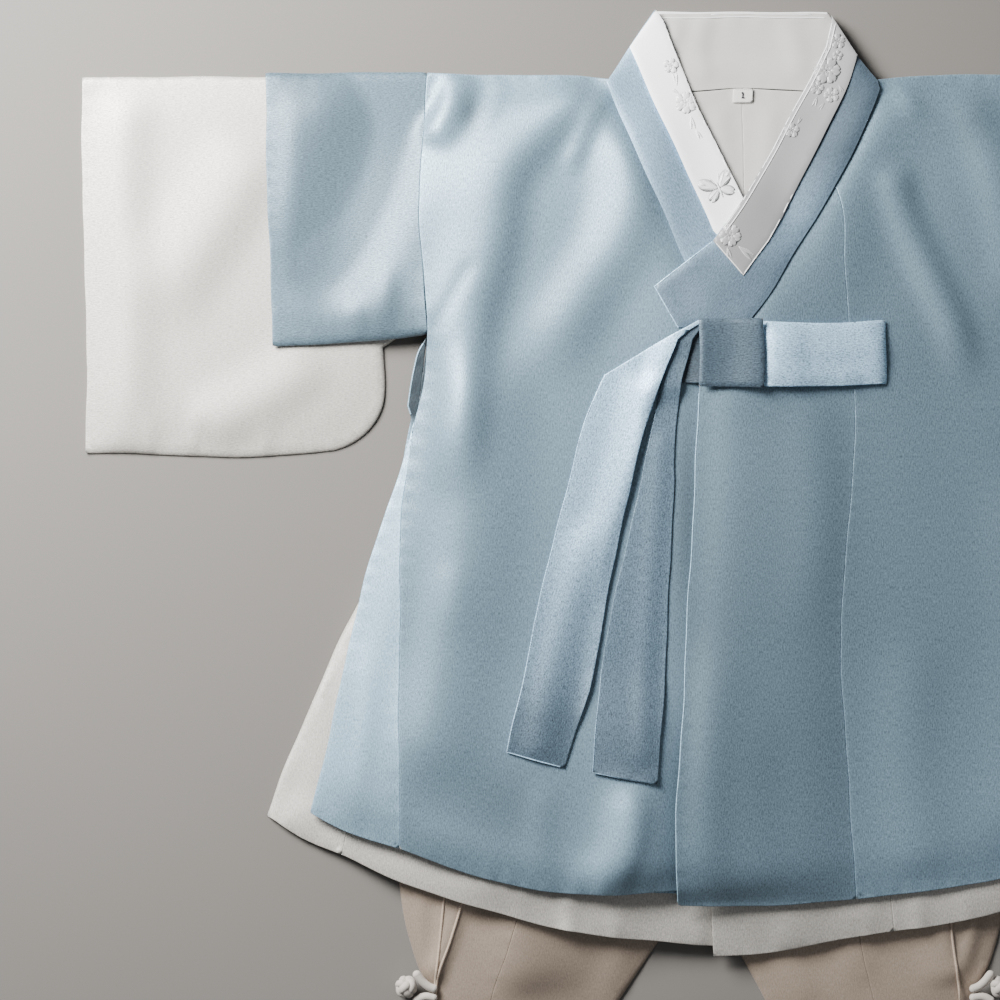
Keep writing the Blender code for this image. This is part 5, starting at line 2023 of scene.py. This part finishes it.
@dataclass
class KnotButton:
    """A braided ball button beside an ankle, with the fat cord loop that holds it."""

    pile: Pile
    leads: int = 3
    bights: int = 5
    strand: float = 2.4           # radius of the ball's cord, mm
    tilt: float = 52.0            # how far the braid climbs towards the poles, degrees
    weave: float = 0.6            # how far strands rise over one another, mm
    lean: float = 28.0            # how far the ball leans back, degrees
    loop_radius: float = 2.35
    buried: float = 3.1           # how far in from its box the loop's ends start, mm

    def ball_path(self, centre: np.ndarray, radius: float) -> np.ndarray:
        """The path of a Turk's head round a sphere.

        Args:
            centre: the sphere's centre.
            radius: the path's mean radius.

        Returns:
            Places along the path, mm.
        """
        turn = np.linspace(0, 2 * np.pi * self.leads, 60 * self.leads, endpoint=False)
        rate = self.bights / self.leads
        height = math.radians(self.tilt) * np.cos(rate * turn)
        away = radius + self.weave * np.sin(2 * rate * turn)
        local = np.stack([away * np.cos(height) * np.cos(turn), away * np.sin(height),
                          away * np.cos(height) * np.sin(turn)], axis=1)
        lean = math.radians(self.lean)
        rise = np.array([[1, 0, 0], [0, math.cos(lean), -math.sin(lean)],
                         [0, math.sin(lean), math.cos(lean)]])
        return local @ rise.T + centre

    @staticmethod
    def add_ball(data: bpy.types.Mesh, centre: np.ndarray, radius: float) -> None:
        """Join a ball to a mesh: the core of a knot or the rounded end of a cord.

        Args:
            data: the mesh.
            centre: the ball's centre, mm.
            radius: its radius, mm.
        """
        shell = bmesh.new()
        shell.from_mesh(data)
        core = bmesh.ops.create_icosphere(shell, subdivisions=3, radius=radius * MM)
        place = Vector((centre[0] * MM, (centre[1] + SHOULDER_Y) * MM, centre[2] * MM))
        bmesh.ops.translate(shell, verts=core["verts"], vec=place)
        for face in shell.faces:
            face.smooth = True
        shell.to_mesh(data)
        shell.free()

    def make(self, side: str) -> None:
        """Make one button and its loop.

        Args:
            side: which ankle.
        """
        finish = self.pile.wardrobe.materials[Slot.CORD]
        low, high = (np.array(corner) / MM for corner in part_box(f"knot_ball_{side}"))
        centre = (low + high) / 2 - (0, SHOULDER_Y, 0)
        radius = (high[2] - low[2]) / 2 - self.strand - self.weave
        track = self.ball_path(centre, radius)
        round_trip = [(index, (index + 1) % len(track)) for index in range(len(track))]
        braid = CordRecipe().grow(path_mesh(track, round_trip),
                                  Radius=self.strand * MM, Sides=10, Finish=finish)
        self.add_ball(braid, centre, radius + 0.35 * self.strand)
        own(grown_object(f"knot_ball_{side}_braid", braid), Slot.CORD, f"knot_ball_{side}")
        sign = SIDES[side]
        low, high = (np.array(corner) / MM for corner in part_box(f"knot_loop_{side}"))
        shift = np.array([0.0, SHOULDER_Y])
        root = high if sign < 0 else low
        first = np.array([root[0] + sign * self.buried, high[1] - 11.5]) - shift
        last = np.array([root[0] + sign * self.buried, low[1] + 5.3]) - shift
        lines = (
            [first, first + (sign * 2.5, 1.1), first + (sign * 5.4, 3.4), first + (sign * 9.0, 8.0)],
            [last, last + (sign * 3.0, 0.6), last + (sign * 6.0, 0.3), last + (sign * 9.2, -1.4)],
        )
        level = (low[2] + high[2]) / 2
        for number, line in enumerate(lines):
            track = flowing(line, False, 0.8, 80.0)
            lift = np.linspace(0.0, 1.2 - 0.5 * number, len(track))
            places = np.column_stack([track, level + lift])
            strand = CordRecipe().grow(path_mesh(places), Radius=self.loop_radius * MM, Sides=14,
                                       Finish=finish)
            for end in (places[0], places[-1]):
                self.add_ball(strand, end, self.loop_radius)
            made = grown_object(f"knot_loop_{side}_strand_{number + 1}", strand)
            own(made, Slot.CORD, *([f"knot_loop_{side}"] if number == 0 else []))


class Studio:
    """The floor, lights and camera; lengths in metres, but for the lens."""

    FLOOR_SIZE = 6.0
    LENS, SENSOR = 100.0, 36.0        # mm
    VIEW_SIZE = 0.55                  # side of the square in view
    VIEW_CENTRE = (-0.1337, 0.0132)
    VIEW_PLANE = 0.010                # height at which that square is measured
    SKY, SKY_STRENGTH = (0.93, 0.96, 1.0, 1.0), 0.13

    def build(self) -> None:
        """Set up the studio."""
        half = self.FLOOR_SIZE / 2
        data = bpy.data.meshes.new("floor")
        corners = [(-half, -half, 0), (half, -half, 0), (half, half, 0), (-half, half, 0)]
        data.from_pydata(corners, [], [(0, 1, 2, 3)])
        data.materials.append(FloorFinish().make())
        floor = bpy.data.objects.new("floor", data)
        bpy.context.scene.collection.objects.link(floor)
        self.add_light("key", (-0.64, 0.52, 0.56), (-0.18, 0.02, 0.0), 0.45, 35.0, (1.0, 0.99, 0.97))
        self.add_light("fill", (0.4, -0.4, 1.8), (0.0, 0.0, 0.0), 1.6, 2.0, (0.96, 0.98, 1.0))
        world = bpy.data.worlds.new("studio")
        world.use_nodes = True
        sky = world.node_tree.nodes["Background"].inputs
        sky["Color"].default_value, sky["Strength"].default_value = self.SKY, self.SKY_STRENGTH
        bpy.context.scene.world = world
        camera = bpy.data.cameras.new("camera")
        camera.lens, camera.sensor_width = self.LENS, self.SENSOR
        holder = bpy.data.objects.new("camera", camera)
        distance = self.VIEW_SIZE * self.LENS / self.SENSOR
        holder.location = (*self.VIEW_CENTRE, distance + self.VIEW_PLANE)
        bpy.context.scene.collection.objects.link(holder)
        bpy.context.scene.camera = holder

    @staticmethod
    def add_light(name: str, place: tuple, target: tuple, size: float, power: float, colour: tuple) -> None:
        """Add a square area light.

        Args:
            name: its name.
            place: where it stands.
            target: what it points at.
            size: its side, m.
            power: its power, W.
            colour: its colour.
        """
        light = bpy.data.lights.new(name, "AREA")
        light.size, light.energy, light.color = size, power, colour
        holder = bpy.data.objects.new(name, light)
        holder.location = place
        holder.rotation_euler = (Vector(target) - Vector(place)).to_track_quat("-Z", "Y").to_euler()
        bpy.context.scene.collection.objects.link(holder)


def main() -> None:
    """Build the whole set in the order in which it was laid."""
    pile = Pile(Wardrobe())
    Studio().build()
    Trousers(pile).lay()
    Robe(pile).lay()
    coat, neck = Coat(pile), Neck(pile)
    pieces = coat.lay_back()
    neck.lay_inside()
    coat.lay_fronts(pieces)
    neck.lay_collar()
    Tie(pile).lay()
    for side in SIDES:
        KnotButton(pile).make(side)
    LOG.info("%d triangles in all", pile.triangles)


if __name__ == "__main__":
    main()
